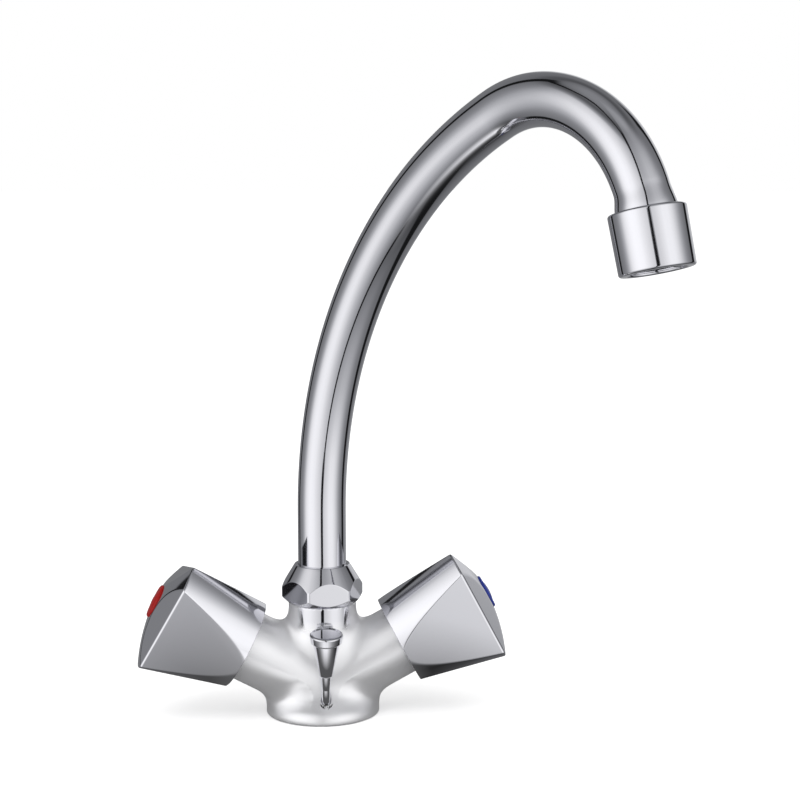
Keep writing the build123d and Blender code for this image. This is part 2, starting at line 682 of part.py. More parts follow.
def drive_tongue(clearance):
    """Bar across the foot of the spindle that turns the disc."""
    return Pos(0, 0, DRIVE_FLANGE_BOTTOM - DRIVE_TONGUE_HEIGHT - clearance) * Box(
        DRIVE_FLANGE_DIAMETER + 2 * clearance, DRIVE_TONGUE_WIDTH + 2 * clearance,
        DRIVE_TONGUE_HEIGHT + clearance, align=UPRIGHT,
    )


def make_turning_disc():
    """Disc that the spindle turns, shut at rest and open a quarter turn on."""
    disc = Pos(0, 0, TURNING_DISC_BOTTOM) * ported_disc(TURNING_DISC_THICKNESS, 90)
    return disc - drive_tongue(FITTED_CLEARANCE)


def make_headwork_body():
    """Brass headwork: slotted sleeve, thread, flange, hexagon and neck."""
    chamber = DISC_DIAMETER / 2 + FITTED_CLEARANCE
    sleeve = SLEEVE_DIAMETER / 2
    thread = VALVE_CAVITY_DIAMETER / 2 - FITTED_CLEARANCE
    flange, neck = HEADWORK_FLANGE_DIAMETER / 2, HEADWORK_NECK_DIAMETER / 2
    bore = SPINDLE_DIAMETER / 2 + RUNNING_CLEARANCE
    sleeve_bottom = CAVITY_FLOOR + SEAL_THICKNESS / 2
    chamber_top = DRIVE_FLANGE_TOP + LOOSE_CLEARANCE
    thread_bottom = ARM_LENGTH - HEADWORK_THREAD_LENGTH
    solid = turned(
        (chamber, sleeve_bottom), (sleeve, sleeve_bottom), (sleeve, thread_bottom), (thread, thread_bottom),
        (thread, HEADWORK_FLANGE_BOTTOM), (flange, HEADWORK_FLANGE_BOTTOM), (flange, HEADWORK_HEX_BOTTOM),
        (neck, HEADWORK_HEX_BOTTOM), (neck, HEADWORK_TOP), (bore, HEADWORK_TOP), (bore, chamber_top),
        (chamber, chamber_top),
    )
    hexagon = extrude(
        RegularPolygon(HEADWORK_HEX_ACROSS_FLATS / 2, 6, major_radius=False), HEADWORK_HEX_HEIGHT
    )
    hexagon -= Cylinder(neck - 0.5, 3 * HEADWORK_HEX_HEIGHT)
    solid += Pos(0, 0, HEADWORK_HEX_BOTTOM) * hexagon
    window_height = DRIVE_FLANGE_BOTTOM - TURNING_DISC_BOTTOM
    window = Pos(sleeve, 0, TURNING_DISC_BOTTOM) * Box(
        sleeve, SLEEVE_WINDOW_WIDTH, window_height, align=UPRIGHT
    )
    for piece in around(2, window):
        solid -= Rot(0, 0, 90) * piece
    return solid


def make_headwork_washer():
    """Fibre washer between the arm's end and the headwork's flange."""
    inner = VALVE_CAVITY_DIAMETER / 2
    return ring(inner, HEADWORK_FLANGE_DIAMETER / 2, ARM_LENGTH, HEADWORK_FLANGE_BOTTOM)


def spindle_top():
    """Distance along the arm of the spindle's end, just short of the insert's web."""
    return HANDLE_START + web_bottom() - INSERT_WEB_THICKNESS - SPINDLE_END_GAP


def splines():
    """Ring of grooves that leaves the spindle's splines standing."""
    radius = SPINDLE_DIAMETER / 2
    width = math.pi * SPINDLE_DIAMETER / SPINDLE_SPLINE_COUNT / 2
    groove = Pos(radius, 0, spindle_top() - SPINDLE_SPLINE_LENGTH) * Box(
        2 * SPINDLE_SPLINE_DEPTH, width, SPINDLE_SPLINE_LENGTH, align=UPRIGHT
    )
    return around(SPINDLE_SPLINE_COUNT, groove)


def make_spindle():
    """Spindle with its drive tongue, flange, grooves, splines and screw hole."""
    radius = SPINDLE_DIAMETER / 2
    flange = DRIVE_FLANGE_DIAMETER / 2
    ring_low = ARM_LENGTH + SPINDLE_RING_POSITION - SPINDLE_RING_WIDTH / 2
    clip_root = radius - CLIP_GROOVE_DEPTH
    solid = turned(
        (0, DRIVE_FLANGE_BOTTOM), (flange, DRIVE_FLANGE_BOTTOM), (flange, DRIVE_FLANGE_TOP),
        (radius, DRIVE_FLANGE_TOP), (radius, spindle_top()), (0, spindle_top()),
    )
    solid += drive_tongue(0) & Cylinder(flange, CUTTER_REACH)
    outside = radius + CUT_OVERRUN
    solid -= ring(radius - SPINDLE_RING_DEPTH, outside, ring_low, ring_low + SPINDLE_RING_WIDTH)
    solid -= ring(clip_root, outside, CLIP_BOTTOM, CLIP_BOTTOM + CLIP_THICKNESS)
    solid -= Pos(0, 0, spindle_top() - SCREW_LENGTH) * Cylinder(
        SCREW_DIAMETER / 2 + FITTED_CLEARANCE, SCREW_LENGTH, align=UPRIGHT
    )
    for groove in splines():
        solid -= groove
    return solid


def make_spindle_ring():
    """Rubber ring in the spindle's groove."""
    section = (SPINDLE_RING_DEPTH - FITTED_CLEARANCE) / 2
    centre = SPINDLE_DIAMETER / 2 - SPINDLE_RING_DEPTH + FITTED_CLEARANCE + section
    return Pos(0, 0, ARM_LENGTH + SPINDLE_RING_POSITION) * Torus(centre, section)


def make_spindle_clip():
    """Open spring clip that holds the spindle down in the headwork."""
    root = SPINDLE_DIAMETER / 2 - CLIP_GROOVE_DEPTH + FITTED_CLEARANCE
    top = CLIP_BOTTOM + CLIP_THICKNESS - FITTED_CLEARANCE
    clip = ring(root, CLIP_DIAMETER / 2, CLIP_BOTTOM, top)
    opening = Pos(CLIP_DIAMETER / 2, 0, CLIP_BOTTOM) * Box(CLIP_DIAMETER, CLIP_OPENING, 4 * CLIP_THICKNESS)
    return clip - opening


# Handle, made about +Z with its skirt's edge at zero

def end_height(radius):
    """Height of the handle's crowned end above its skirt at a distance from the axis."""
    drop = crown_drop(HANDLE_CORNER_DIAMETER / 2, HANDLE_CROWN, radius)
    return HANDLE_LENGTH + HANDLE_CROWN - drop


def handle_outside():
    """Flared cone with a crowned end, cut by three flats and three end bevels."""
    skirt, corner = HANDLE_SKIRT_DIAMETER / 2, HANDLE_CORNER_DIAMETER / 2
    cone_lines = Polyline((0, 0, 0), (skirt, 0, 0), (corner, 0, HANDLE_LENGTH))
    crown = crown_line(corner, HANDLE_LENGTH, HANDLE_CROWN)
    axis_line = Line((0, 0, HANDLE_LENGTH + HANDLE_CROWN), (0, 0, 0))
    solid = revolve(make_face(cone_lines + crown + axis_line), Axis.Z)
    reach = HANDLE_CORNER_DIAMETER
    flat = Pos(HANDLE_FLAT_DISTANCE + reach / 2, 0, HANDLE_LENGTH / 2) * Box(reach, 2 * reach, 3 * HANDLE_LENGTH)
    tilted = Rot(0, HANDLE_END_BEVEL_ANGLE, 0) * (Pos(0, 0, reach / 2) * Box(2 * reach, 2 * reach, reach))
    bevel = Pos(HANDLE_FLAT_DISTANCE, 0, HANDLE_LENGTH) * tilted
    for piece in around(3, flat) + around(3, bevel):
        solid -= piece
    return solid


def rounded_handle(solid):
    """Soft edges round the flats, the end and the skirt."""
    sharp = []
    for edge in solid.edges():
        box = edge.bounding_box()
        seam = box.size.Y < 0.01 and box.min.X > -0.01
        if box.max.Z > 0.01 and not seam:
            sharp.append(edge)
    return fillet(sharp, HANDLE_EDGE_ROUNDING)


def index_seat_height():
    """Height of the index button's seat above the skirt's edge."""
    return end_height(INDEX_DIAMETER / 2) - INDEX_SEAT_DEPTH


def web_top():
    """Height of the top of the web that the screw clamps, a head's height below the index button."""
    return index_seat_height() - INDEX_BOSS_HEIGHT - INDEX_SCREW_GAP - SCREW_HEAD_HEIGHT


def web_bottom():
    """Height of the underside of the web that the screw clamps."""
    return web_top() - HANDLE_WEB_THICKNESS


def make_handle(turn):
    """Hollow handle with a hub for the insert, a screw well and an index seat."""
    cavity = HANDLE_SKIRT_DIAMETER / 2 - HANDLE_WALL
    hub = HANDLE_HUB_DIAMETER / 2
    well = SCREW_HEAD_DIAMETER / 2 + LOOSE_CLEARANCE
    cavity_depth = web_bottom() - INSERT_LENGTH
    pocket_depth = HANDLE_LENGTH - HANDLE_ROOF_THICKNESS
    solid = Rot(0, 0, turn) * rounded_handle(handle_outside())
    solid -= Cylinder(cavity, cavity_depth, align=UPRIGHT)
    solid -= ring(HANDLE_BOSS_DIAMETER / 2, cavity, cavity_depth - CUT_OVERRUN, pocket_depth)
    solid -= Cylinder(hub, web_bottom(), align=UPRIGHT)
    solid -= Cylinder(SCREW_DIAMETER / 2 + LOOSE_CLEARANCE, web_top(), align=UPRIGHT)
    solid -= Pos(0, 0, web_top()) * Cylinder(well, HANDLE_LENGTH, align=UPRIGHT)
    solid -= Pos(0, 0, index_seat_height()) * Cylinder(INDEX_SEAT_RADIUS, HANDLE_LENGTH, align=UPRIGHT)
    return solid


def make_handle_insert():
    """Splined plastic insert between the spindle and the handle's hub."""
    outer = HANDLE_HUB_DIAMETER / 2 - FITTED_CLEARANCE
    bore = SPINDLE_DIAMETER / 2 + FITTED_CLEARANCE
    hole = SCREW_DIAMETER / 2 + LOOSE_CLEARANCE
    floor, top = web_bottom() - INSERT_LENGTH, web_bottom()
    inner_top = top - INSERT_WEB_THICKNESS
    return turned((bore, floor), (outer, floor), (outer, top), (hole, top), (hole, inner_top), (bore, inner_top))


def make_handle_screw():
    """Socket screw that clamps the handle onto the spindle."""
    seat = web_top()
    shank_bottom = spindle_top() - HANDLE_START - SCREW_LENGTH + SCREW_END_GAP
    screw = Pos(0, 0, seat) * Cylinder(SCREW_HEAD_DIAMETER / 2, SCREW_HEAD_HEIGHT, align=UPRIGHT)
    screw += Pos(0, 0, shank_bottom) * Cylinder(SCREW_DIAMETER / 2, seat - shank_bottom, align=UPRIGHT)
    socket = extrude(RegularPolygon(SCREW_SOCKET_ACROSS_FLATS / 2, 6, major_radius=False), SCREW_SOCKET_DEPTH)
    return screw - Pos(0, 0, seat + SCREW_HEAD_HEIGHT - SCREW_SOCKET_DEPTH) * socket


def make_index_button():
    """Crowned colour button with a centring boss below."""
    radius = INDEX_DIAMETER / 2
    seat = index_seat_height()
    rim = end_height(radius) + INDEX_RIM_HEIGHT
    boss = SCREW_HEAD_DIAMETER / 2
    sides = Polyline(
        (0, 0, seat - INDEX_BOSS_HEIGHT), (boss, 0, seat - INDEX_BOSS_HEIGHT), (boss, 0, seat),
        (radius, 0, seat), (radius, 0, rim),
    )
    crown = crown_line(radius, rim, INDEX_CROWN)
    axis_line = Line((0, 0, rim + INDEX_CROWN), (0, 0, seat - INDEX_BOSS_HEIGHT))
    return revolve(make_face(sides + crown + axis_line), Axis.Z)


def side_parts(name, side):
    """All the pieces of one arm's valve and handle, set in place."""
    in_arm = {
        "disc_seal": make_disc_seal(),
        "fixed_disc": make_fixed_disc(),
        "turning_disc": make_turning_disc(),
        "headwork_body": make_headwork_body(),
        "headwork_washer": make_headwork_washer(),
        "spindle": make_spindle(),
        "spindle_ring": make_spindle_ring(),
        "spindle_clip": make_spindle_clip(),
    }
    on_handle = {
        "handle": make_handle(handle_turn(side)),
        "handle_insert": make_handle_insert(),
        "handle_screw": make_handle_screw(),
        "index_button": make_index_button(),
    }
    parts = {f"{name}_{key}": arm_plane(side, 0) * piece for key, piece in in_arm.items()}
    for key, piece in on_handle.items():
        parts[f"{name}_{key}"] = arm_plane(side, HANDLE_START) * piece
    return parts


def all_parts():
    """Every node by name."""
    parts = {
        "body": make_body(),
        "base_gasket": make_base_gasket(),
        "rod_bush": make_rod_bush(),
        "lift_rod": make_lift_rod(),
        "lift_knob": make_lift_knob(),
        "spout_nut": make_spout_nut(),
        "lower_slip_washer": make_lower_slip_washer(),
        "upper_slip_ring": make_upper_slip_ring(),
        "spout_foot": make_spout_foot(),
        "lower_foot_ring": make_foot_ring(FOOT_RING_POSITIONS[0]),
        "upper_foot_ring": make_foot_ring(FOOT_RING_POSITIONS[1]),
        "spout_tube": make_spout_tube(),
        "outlet_collar": make_outlet_collar(),
        "aerator_gasket": make_aerator_gasket(),
        "aerator_housing": make_aerator_housing(),
        "aerator_insert": make_aerator_insert(),
        "aerator_screen": make_aerator_screen(),
    }
    parts.update(side_parts("hot", -1))
    parts.update(side_parts("cold", 1))
    return parts


os.makedirs("parts", exist_ok=True)
for node, shape in all_parts().items():
    export_step(shape, f"parts/{node}.step")
    print(node, len(shape.solids()), round(shape.volume, 1))
outlet = outlet_plane()
print("outlet plane", outlet.origin, outlet.z_dir)
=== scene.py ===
"""Looks of a chrome basin mixer tap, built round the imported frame.

Lengths are in millimetres and angles in degrees, unless a comment says otherwise; meshes are brought to
metres when they are placed. The origin is the centre of the base on the deck, +Z is up, the user stands on
the -Y side, the hot arm points to -X and the cold arm to +X.
"""

import logging
import math
from dataclasses import dataclass
from enum import Enum
from functools import cache
from typing import Any, Sequence

import bmesh
import bpy
import numpy as np
from mathutils import Matrix, Vector


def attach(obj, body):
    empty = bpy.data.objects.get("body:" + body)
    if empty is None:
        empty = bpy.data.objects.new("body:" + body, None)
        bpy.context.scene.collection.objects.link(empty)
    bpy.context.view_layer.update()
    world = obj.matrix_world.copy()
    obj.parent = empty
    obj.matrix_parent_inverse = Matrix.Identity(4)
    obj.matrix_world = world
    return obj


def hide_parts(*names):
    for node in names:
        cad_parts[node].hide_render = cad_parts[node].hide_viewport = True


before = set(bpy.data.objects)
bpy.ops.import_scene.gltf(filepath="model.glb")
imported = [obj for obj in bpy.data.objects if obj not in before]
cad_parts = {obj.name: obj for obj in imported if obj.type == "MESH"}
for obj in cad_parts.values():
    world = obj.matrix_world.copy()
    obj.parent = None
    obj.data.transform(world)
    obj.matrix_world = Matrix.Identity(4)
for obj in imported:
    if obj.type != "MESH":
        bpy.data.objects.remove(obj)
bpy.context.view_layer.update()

LOG = logging.getLogger("basin_tap")
MM = 0.001
UP = Vector((0, 0, 1))
TINY = 1e-6  # keeps a division from zero
CROWN_STEPS = 14  # pieces in the outline of a crowned end
SEAM_WELD = 1e-5  # distance within which the seam of a turned mesh closes
NODE_WELD = 1e-3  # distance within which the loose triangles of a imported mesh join
LARGE_FACE_WEIGHT = 70  # how much large faces count in the shading, 50 being alike
PROBE = 0.05  # step between two samples of a distance
SETTLE_ROUNDS = 5  # how often the vertices of a skin are moved
FLATTEST = 0.1  # least square of the slope that they follow
FIRST_COLOUR, SECOND_COLOUR, MIXED_COLOUR = 6, 7, 2  # sockets of a Mix node
ROUND, UPRIGHT = 180.0, 90.0  # half of the range of angles to the side and of heights
Socket = bpy.types.NodeSocket
Pairs = Sequence[tuple[float, float]]
Corners = Sequence[tuple[float, float, float]]
Colour = tuple[float, float, float, float]


class Arm(Enum):
    """The two valve arms, by the side of the tap that they point to."""

    HOT = -1
    COLD = 1

    @property
    def word(self) -> str:
        """Name used in nodes and bodies."""
        return self.name.lower()


# Node trees


def linear(hex_colour: str) -> Colour:
    """Turns an sRGB hex colour into linear red, green, blue and alpha.

    Args:
        hex_colour: Six hex digits after a hash sign.

    Returns:
        Linear components with an alpha of one.
    """
    values = [int(hex_colour[place : place + 2], 16) / 255 for place in (1, 3, 5)]
    red, green, blue = [v / 12.92 if v <= 0.04045 else ((v + 0.055) / 1.055) ** 2.4 for v in values]
    return (red, green, blue, 1.0)


class Graph:
    """Node tree of a material or of the world, with short ways to add what the finishes need."""

    def __init__(self, tree: bpy.types.NodeTree) -> None:
        """Takes the tree that the nodes go into."""
        self.tree = tree

    @property
    def surface(self) -> bpy.types.Node:
        """The Principled shader that comes with a material."""
        return self.tree.nodes["Principled BSDF"]

    def fill(self, node: bpy.types.Node, sockets: dict[str | int, Any]) -> None:
        """Sets or links a node's inputs.

        Args:
            node: Node that takes them.
            sockets: Input name or number, with its value or the output that feeds it.
        """
        for key, value in sockets.items():
            if isinstance(value, Socket):
                self.tree.links.new(value, node.inputs[key])
            else:
                node.inputs[key].default_value = value

    def add(self, kind: str, sockets: dict[str | int, Any] | None = None, **settings: Any) -> bpy.types.Node:
        """Adds one node, sets it up and links it.

        Args:
            kind: Type name of the node, after ShaderNode.
            sockets: Input name or number, with its value or the output that feeds it.
            **settings: The node's own properties.

        Returns:
            The new node.
        """
        node = self.tree.nodes.new(f"ShaderNode{kind}")
        for name, value in settings.items():
            setattr(node, name, value)
        self.fill(node, sockets or {})
        return node

    def place(self) -> Socket:
        """Object coordinates."""
        return self.add("TexCoord").outputs["Object"]

    def axes(self, vector: Socket) -> Any:
        """Outputs with the x, y and z of a vector."""
        return self.add("SeparateXYZ", {0: vector}).outputs

    def calc(self, operation: str, *values: Socket | float) -> Socket:
        """Output of one Math node."""
        return self.add("Math", dict(enumerate(values)), operation=operation).outputs[0]

    def span(
        self,
        value: Socket,
        start: float,
        end: float,
        low: float = 0.0,
        high: Socket | float = 1.0,
        eased: bool = False,
    ) -> Socket:
        """Brings a value from one range into another and holds it at the ends.

        Args:
            value: Value to bring over.
            start: Value that gives low.
            end: Value that gives high.
            low: Result at the start.
            high: Result at the end.
            eased: True for a smooth step.

        Returns:
            The output socket.
        """
        sockets = {"Value": value, "From Min": start, "From Max": end, "To Min": low, "To Max": high}
        kind = "SMOOTHSTEP" if eased else "LINEAR"
        return self.add("MapRange", sockets, interpolation_type=kind).outputs["Result"]

    def noise(self, vector: Socket, scale: float, detail: float) -> Socket:
        """Output of a noise with a scale per metre."""
        return self.add("TexNoise", {"Vector": vector, "Scale": scale, "Detail": detail}).outputs["Fac"]

    def bumps(self, *layers: tuple[Socket, float, float]) -> Socket:
        """Lays bumps over one another.

        Args:
            *layers: Height, strength and depth of each bump.

        Returns:
            Normal over all of them.
        """
        under: dict[str | int, Any] = {}
        for height, strength, depth in layers:
            sockets = {"Height": height, "Strength": strength, "Distance": depth * MM}
            under = {"Normal": self.add("Bump", sockets | under).outputs["Normal"]}
        return under["Normal"]

    def tint(self, share: Socket, first: str, second: str) -> Socket:
        """Output between two hex colours."""
        sockets = {"Factor": share, FIRST_COLOUR: linear(first), SECOND_COLOUR: linear(second)}
        return self.add("Mix", sockets, data_type="RGBA").outputs[MIXED_COLOUR]

    def azimuth(self, vector: Socket) -> Socket:
        """Angle of a vector about z, in degrees from the x axis."""
        x, y, _ = self.axes(vector)
        return self.calc("DEGREES", self.calc("ARCTAN2", y, x))

    def curve(self, angle: Socket, stops: Pairs, span: float) -> Socket:
        """Level read off a list of stops at an angle.

        Args:
            angle: Angle in degrees.
            stops: Angle and level of each stop.
            span: Half of the whole range of angles.

        Returns:
            The output socket.
        """
        node = self.add("ValToRGB", {"Fac": self.span(angle, -span, span)})
        elements = node.color_ramp.elements
        elements.remove(elements[-1])
        for number, (stop_angle, level) in enumerate(stops):
            position = (stop_angle + span) / (2 * span)
            stop = elements.new(position) if number else elements[0]
            stop.position = position
            stop.color = (level, level, level, 1.0)
        return node.outputs["Color"]

    def seen(self) -> Socket:
        """Tells the rays that see a thing from those that light it.

        Returns:
            Output that is one for camera, glossy and transmitted rays.
        """
        path = self.add("LightPath").outputs
        direct = self.calc("MAXIMUM", path["Is Camera Ray"], path["Is Glossy Ray"])
        return self.calc("MAXIMUM", direct, path["Is Transmission Ray"])

    def show(self, shader: bpy.types.Node) -> None:
        """Sends a shader to the material's output."""
        self.fill(self.tree.nodes["Material Output"], {"Surface": shader.outputs[0]})


def new_material(name: str) -> tuple[bpy.types.Material, Graph]:
    """Starts a material.

    Args:
        name: Name of the material.

    Returns:
        The material and its node tree.
    """
    material = bpy.data.materials.new(name)
    material.use_nodes = True
    return material, Graph(material.node_tree)


# Finishes


@dataclass(frozen=True)
class ChromePlate:
    """Bright nickel-chrome plate over brass or zinc, buffed.

    The eye sees the room in it: nearly black lines beside nearly white panels, with a faint haze from the
    buffing wheel, fine marks that run the way the piece was drawn or turned, and on the casting a satin look
    where the wheel couldn't reach. The last five fields say where a satin zone starts and where it is full,
    three by height and two by distance to the side of the neck's axis.
    """

    name: str
    colour: str = "#D9D9DE"
    roughness: float = 0.045
    haze: float = 0.05
    haze_range: tuple[float, float] = (0.35, 0.75)
    marks_mm: float = 0.5
    marks_run: tuple[float, float, float] = (1.0, 1.0, 0.06)
    marks_strength: float = 0.25
    marks_depth: float = 0.0012
    ripple_mm: float = 14.0
    ripple_strength: float = 0.35
    ripple: float = 0.006
    satin: float = 0.0
    foot_satin: float = 0.0
    crotch_satin: float = 0.0
    satin_colour: str = "#F1F1F3"
    satin_metal: float = 0.72
    below_neck: tuple[float, float] = (47.0, 40.0)
    on_foot: tuple[float, float] = (20.0, 9.0)
    over_base: tuple[float, float] = (28.0, 36.0)
    beside_neck: tuple[float, float] = (9.0, 13.0)
    on_arm_root: tuple[float, float] = (26.0, 18.0)

    def unbuffed(self, graph: Graph, place: Socket, rough: Socket) -> dict[str | int, Socket]:
        """Dulls the plate below and beside the neck, and most where the arms leave it.

        Args:
            graph: Node tree of the material.
            place: Object coordinates.
            rough: Roughness of the buffed plate.

        Returns:
            What feeds the shader's colour, metal share and roughness.
        """
        x, _, z = graph.axes(place)
        side = graph.calc("ABSOLUTE", x)
        low, foot, high, beside, near = (
            graph.span(length, start * MM, end * MM, eased=True)
            for length, (start, end) in (
                (z, self.below_neck),
                (z, self.on_foot),
                (z, self.over_base),
                (side, self.beside_neck),
                (side, self.on_arm_root),
            )
        )
        dull = graph.calc("MAXIMUM", low, beside)
        crotch = graph.calc("MULTIPLY", graph.calc("MULTIPLY", beside, near), high)
        for share, more in ((dull, self.satin), (foot, self.foot_satin), (crotch, self.crotch_satin)):
            rough = graph.calc("MULTIPLY_ADD", share, more, rough)
        tint = graph.tint(dull, self.colour, self.satin_colour)
        metal = graph.span(dull, 0.0, 1.0, 1.0, self.satin_metal)
        return {"Base Color": tint, "Metallic": metal, "Roughness": rough}

    def build(self) -> bpy.types.Material:
        """Makes the material.

        Returns:
            Material with buffing marks in its roughness and a slow ripple in its bump.
        """
        material, graph = new_material(self.name)
        place = graph.place()
        run = graph.add("Mapping", {"Vector": place, "Scale": self.marks_run}).outputs["Vector"]
        marks = graph.noise(run, 1.0 / (self.marks_mm * MM), detail=3.0)
        waves = graph.noise(place, 1.0 / (self.ripple_mm * MM), detail=1.0)
        rough = graph.span(marks, *self.haze_range, self.roughness, self.roughness + self.haze)
        plate = {"Base Color": linear(self.colour), "Metallic": 1.0, "Roughness": rough}
        if self.satin:
            plate = self.unbuffed(graph, place, rough)
        slow = (waves, self.ripple_strength, self.ripple)
        fine = (marks, self.marks_strength, self.marks_depth)
        graph.fill(graph.surface, plate | {"Normal": graph.bumps(slow, fine)})
        return material


@dataclass(frozen=True)
class MouldedWare:
    """Moulded plastic or rubber, or pressed ceramic or fibre, coloured through.

    The eye sees an even colour with slightly cloudy pigment and a moulded gloss that is never quite flat.
    """

    name: str
    colour: str
    cloud: str
    roughness: float
    ior: float
    grain_mm: float = 2.0
    grain_depth: float = 0.01
    grain_strength: float = 0.4
    cloud_scale: float = 0.3

    def build(self) -> bpy.types.Material:
        """Makes the material.

        Returns:
            Material with cloudy pigment and a fine moulded grain.
        """
        material, graph = new_material(self.name)
        place = graph.place()
        clouds = graph.noise(place, self.cloud_scale / (self.grain_mm * MM), detail=2.0)
        grain = graph.noise(place, 1.0 / (self.grain_mm * MM), detail=4.0)
        sockets = {
            "Base Color": graph.tint(clouds, self.colour, self.cloud),
            "Roughness": self.roughness,
            "IOR": self.ior,
            "Normal": graph.bumps((grain, self.grain_strength, self.grain_depth)),
        }
        graph.fill(graph.surface, sockets)
        return material


@dataclass(frozen=True)
class TurnedMetal:
    """Bare brass or steel as it leaves the lathe.

    The eye sees fine rings round the axis that spread the highlight across them.
    """

    name: str
    colour: str
    dull: str
    roughness: float
    haze: float = 0.2
    tarnish_scale: float = 180.0
    ring_mm: float = 0.35
    ring_waves: float = 0.32
    ring_wander: float = 0.4
    ring_strength: float = 0.3
    ring_depth: float = 0.02

    def build(self) -> bpy.types.Material:
        """Makes the material.

        Returns:
            Material with lathe rings in its bump and light tarnish in its colour.
        """
        material, graph = new_material(self.name)
        place = graph.place()
        tarnish = graph.noise(place, self.tarnish_scale, detail=4.0)
        waves = {
            "Vector": place,
            "Scale": self.ring_waves / (self.ring_mm * MM),
            "Distortion": self.ring_wander,
        }
        rings = graph.add("TexWave", waves, bands_direction="Z").outputs["Fac"]
        sockets = {
            "Base Color": graph.tint(tarnish, self.colour, self.dull),
            "Metallic": 1.0,
            "Roughness": graph.span(tarnish, 0.0, 1.0, self.roughness, self.roughness + self.haze),
            "Normal": graph.bumps((rings, self.ring_strength, self.ring_depth)),
        }
        graph.fill(graph.surface, sockets)
        return material


TURNED_RUN = (0.1, 0.1, 1.0)
FINISHES: dict[str, ChromePlate | MouldedWare | TurnedMetal] = {
    "cast": ChromePlate(
        "chrome_plate_on_cast_brass",
        haze=0.015,
        marks_run=TURNED_RUN,
        marks_strength=0.02,
        ripple=0.002,
        satin=0.25,
        foot_satin=0.02,
        crotch_satin=0.12,
    ),
    "tube": ChromePlate("chrome_plate_on_drawn_tube", ripple=0.004),
    "turned": ChromePlate("chrome_plate_on_turned_brass", haze=0.04, marks_run=TURNED_RUN, ripple=0.002),
    "handle": ChromePlate("chrome_plate_on_die_cast_zinc", "#E3E3E8", roughness=0.075),
    "red": MouldedWare("red_acrylic_index", "#A00600", "#8E0500", 0.34, 1.35),
    "blue": MouldedWare("blue_acrylic_index", "#22338A", "#1C2B78", 0.3, 1.4),
    "acetal": MouldedWare("natural_white_acetal", "#E4E3DD", "#DAD9D2", 0.42, 1.48),
    "grey": MouldedWare("grey_acetal", "#6D6F73", "#63656A", 0.4, 1.48),
    "rubber": MouldedWare("black_nitrile_rubber", "#151516", "#1D1D1F", 0.62, 1.52, grain_depth=0.03),
    "ceramic": MouldedWare("lapped_alumina_ceramic", "#EAE7DF", "#E2DED4", 0.16, 1.76),
    "fibre": MouldedWare("pressed_red_fibre", "#7A2A1E", "#6A2218", 0.7, 1.5, grain_depth=0.05),
    "brass": TurnedMetal("turned_brass", "#C9A45C", "#A98645", 0.25),
    "steel": TurnedMetal("turned_stainless_steel", "#B9BABC", "#9FA0A3", 0.28),
}


@cache
def material_for(finish: str) -> bpy.types.Material:
    """The material of a finish, made the first time that it is asked for."""
    return FINISHES[finish].build()


# Shapes


def axes_matrix(origin: Vector, x_way: Vector, z_way: Vector) -> Matrix:
    """Placement with its local x and z along two given ways.

    Args:
        origin: Where the local origin goes.
        x_way: Direction of the local x axis.
        z_way: Direction of the local z axis.

    Returns:
        Placement as a matrix.
    """
    z_axis = z_way.normalized()
    x_axis = x_way.normalized()
    y_axis = z_axis.cross(x_axis)
    turned = Matrix((x_axis, y_axis, z_axis)).transposed().to_4x4()
    return Matrix.Translation(origin) @ turned


def rounded(corners: Corners, steps: int) -> list[tuple[float, float]]:
    """Replaces the corners of an open outline with arcs.

    Args:
        corners: Radius, height and rounding radius of each corner; the ends take no rounding.
        steps: Pieces in each arc.

    Returns:
        Radius and height of every point.
    """
    points = [corners[0][:2]]
    for before, (x, z, radius), after in zip(corners, corners[1:], corners[2:]):
        if radius <= 0:
            points.append((x, z))
            continue
        corner = Vector((x, z))
        way_in = (Vector(before[:2]) - corner).normalized()
        way_out = (Vector(after[:2]) - corner).normalized()
        half = way_in.angle(way_out) / 2
        middle = corner + (way_in + way_out).normalized() * (radius / math.sin(half))
        start = corner + way_in * (radius / math.tan(half)) - middle
        end = corner + way_out * (radius / math.tan(half)) - middle
        points += [tuple(middle + start.slerp(end, step / steps)) for step in range(steps + 1)]
    points.append(corners[-1][:2])
    return points


def crowned(corners: Corners, rim: tuple[float, float], rise: float, steps: int) -> list[tuple[float, float]]:
    """Outline of a turned plug from its bottom to a shallow crowned end.

    Args:
        corners: Radius, height and rounding radius of each corner below the crown.
        rim: Radius and height at which the crown starts.
        rise: Height of the crown's middle above its rim.
        steps: Pieces in each rounded corner.

    Returns:
        Radius and height of every point.
    """
    radius, height = rim
    sphere = (radius**2 + rise**2) / (2 * rise)
    cap = []
    for step in range(1, CROWN_STEPS + 1):
        reach = radius * (1 - step / CROWN_STEPS)
        cap.append((reach, height + rise - sphere + math.sqrt(sphere**2 - reach**2)))
    return [(0.0, corners[0][1])] + rounded([*corners, (*cap[0], 0)], steps)[:-1] + cap


def lathe(outline: Pairs, closed: bool = False, segments: int = 144) -> bmesh.types.BMesh:
    """Turns an outline about the local z axis.

    Args:
        outline: Radius and height of each point.
        closed: True if the last point joins the first.
        segments: Pieces round the axis.

    Returns:
        Turned mesh with its faces outwards.
    """
    mesh = bmesh.new()
    line = [mesh.verts.new((radius, 0.0, height)) for radius, height in outline]
    pairs = list(zip(line, line[1:])) + ([(line[-1], line[0])] if closed else [])
    edges = [mesh.edges.new(pair) for pair in pairs]
    bmesh.ops.spin(
        mesh,
        geom=line + edges,
        cent=(0, 0, 0),
        axis=UP,
        angle=math.tau,
        steps=segments,
        use_merge=True,
    )
    bmesh.ops.remove_doubles(mesh, verts=mesh.verts, dist=SEAM_WELD)
    bmesh.ops.recalc_face_normals(mesh, faces=mesh.faces)
    return mesh


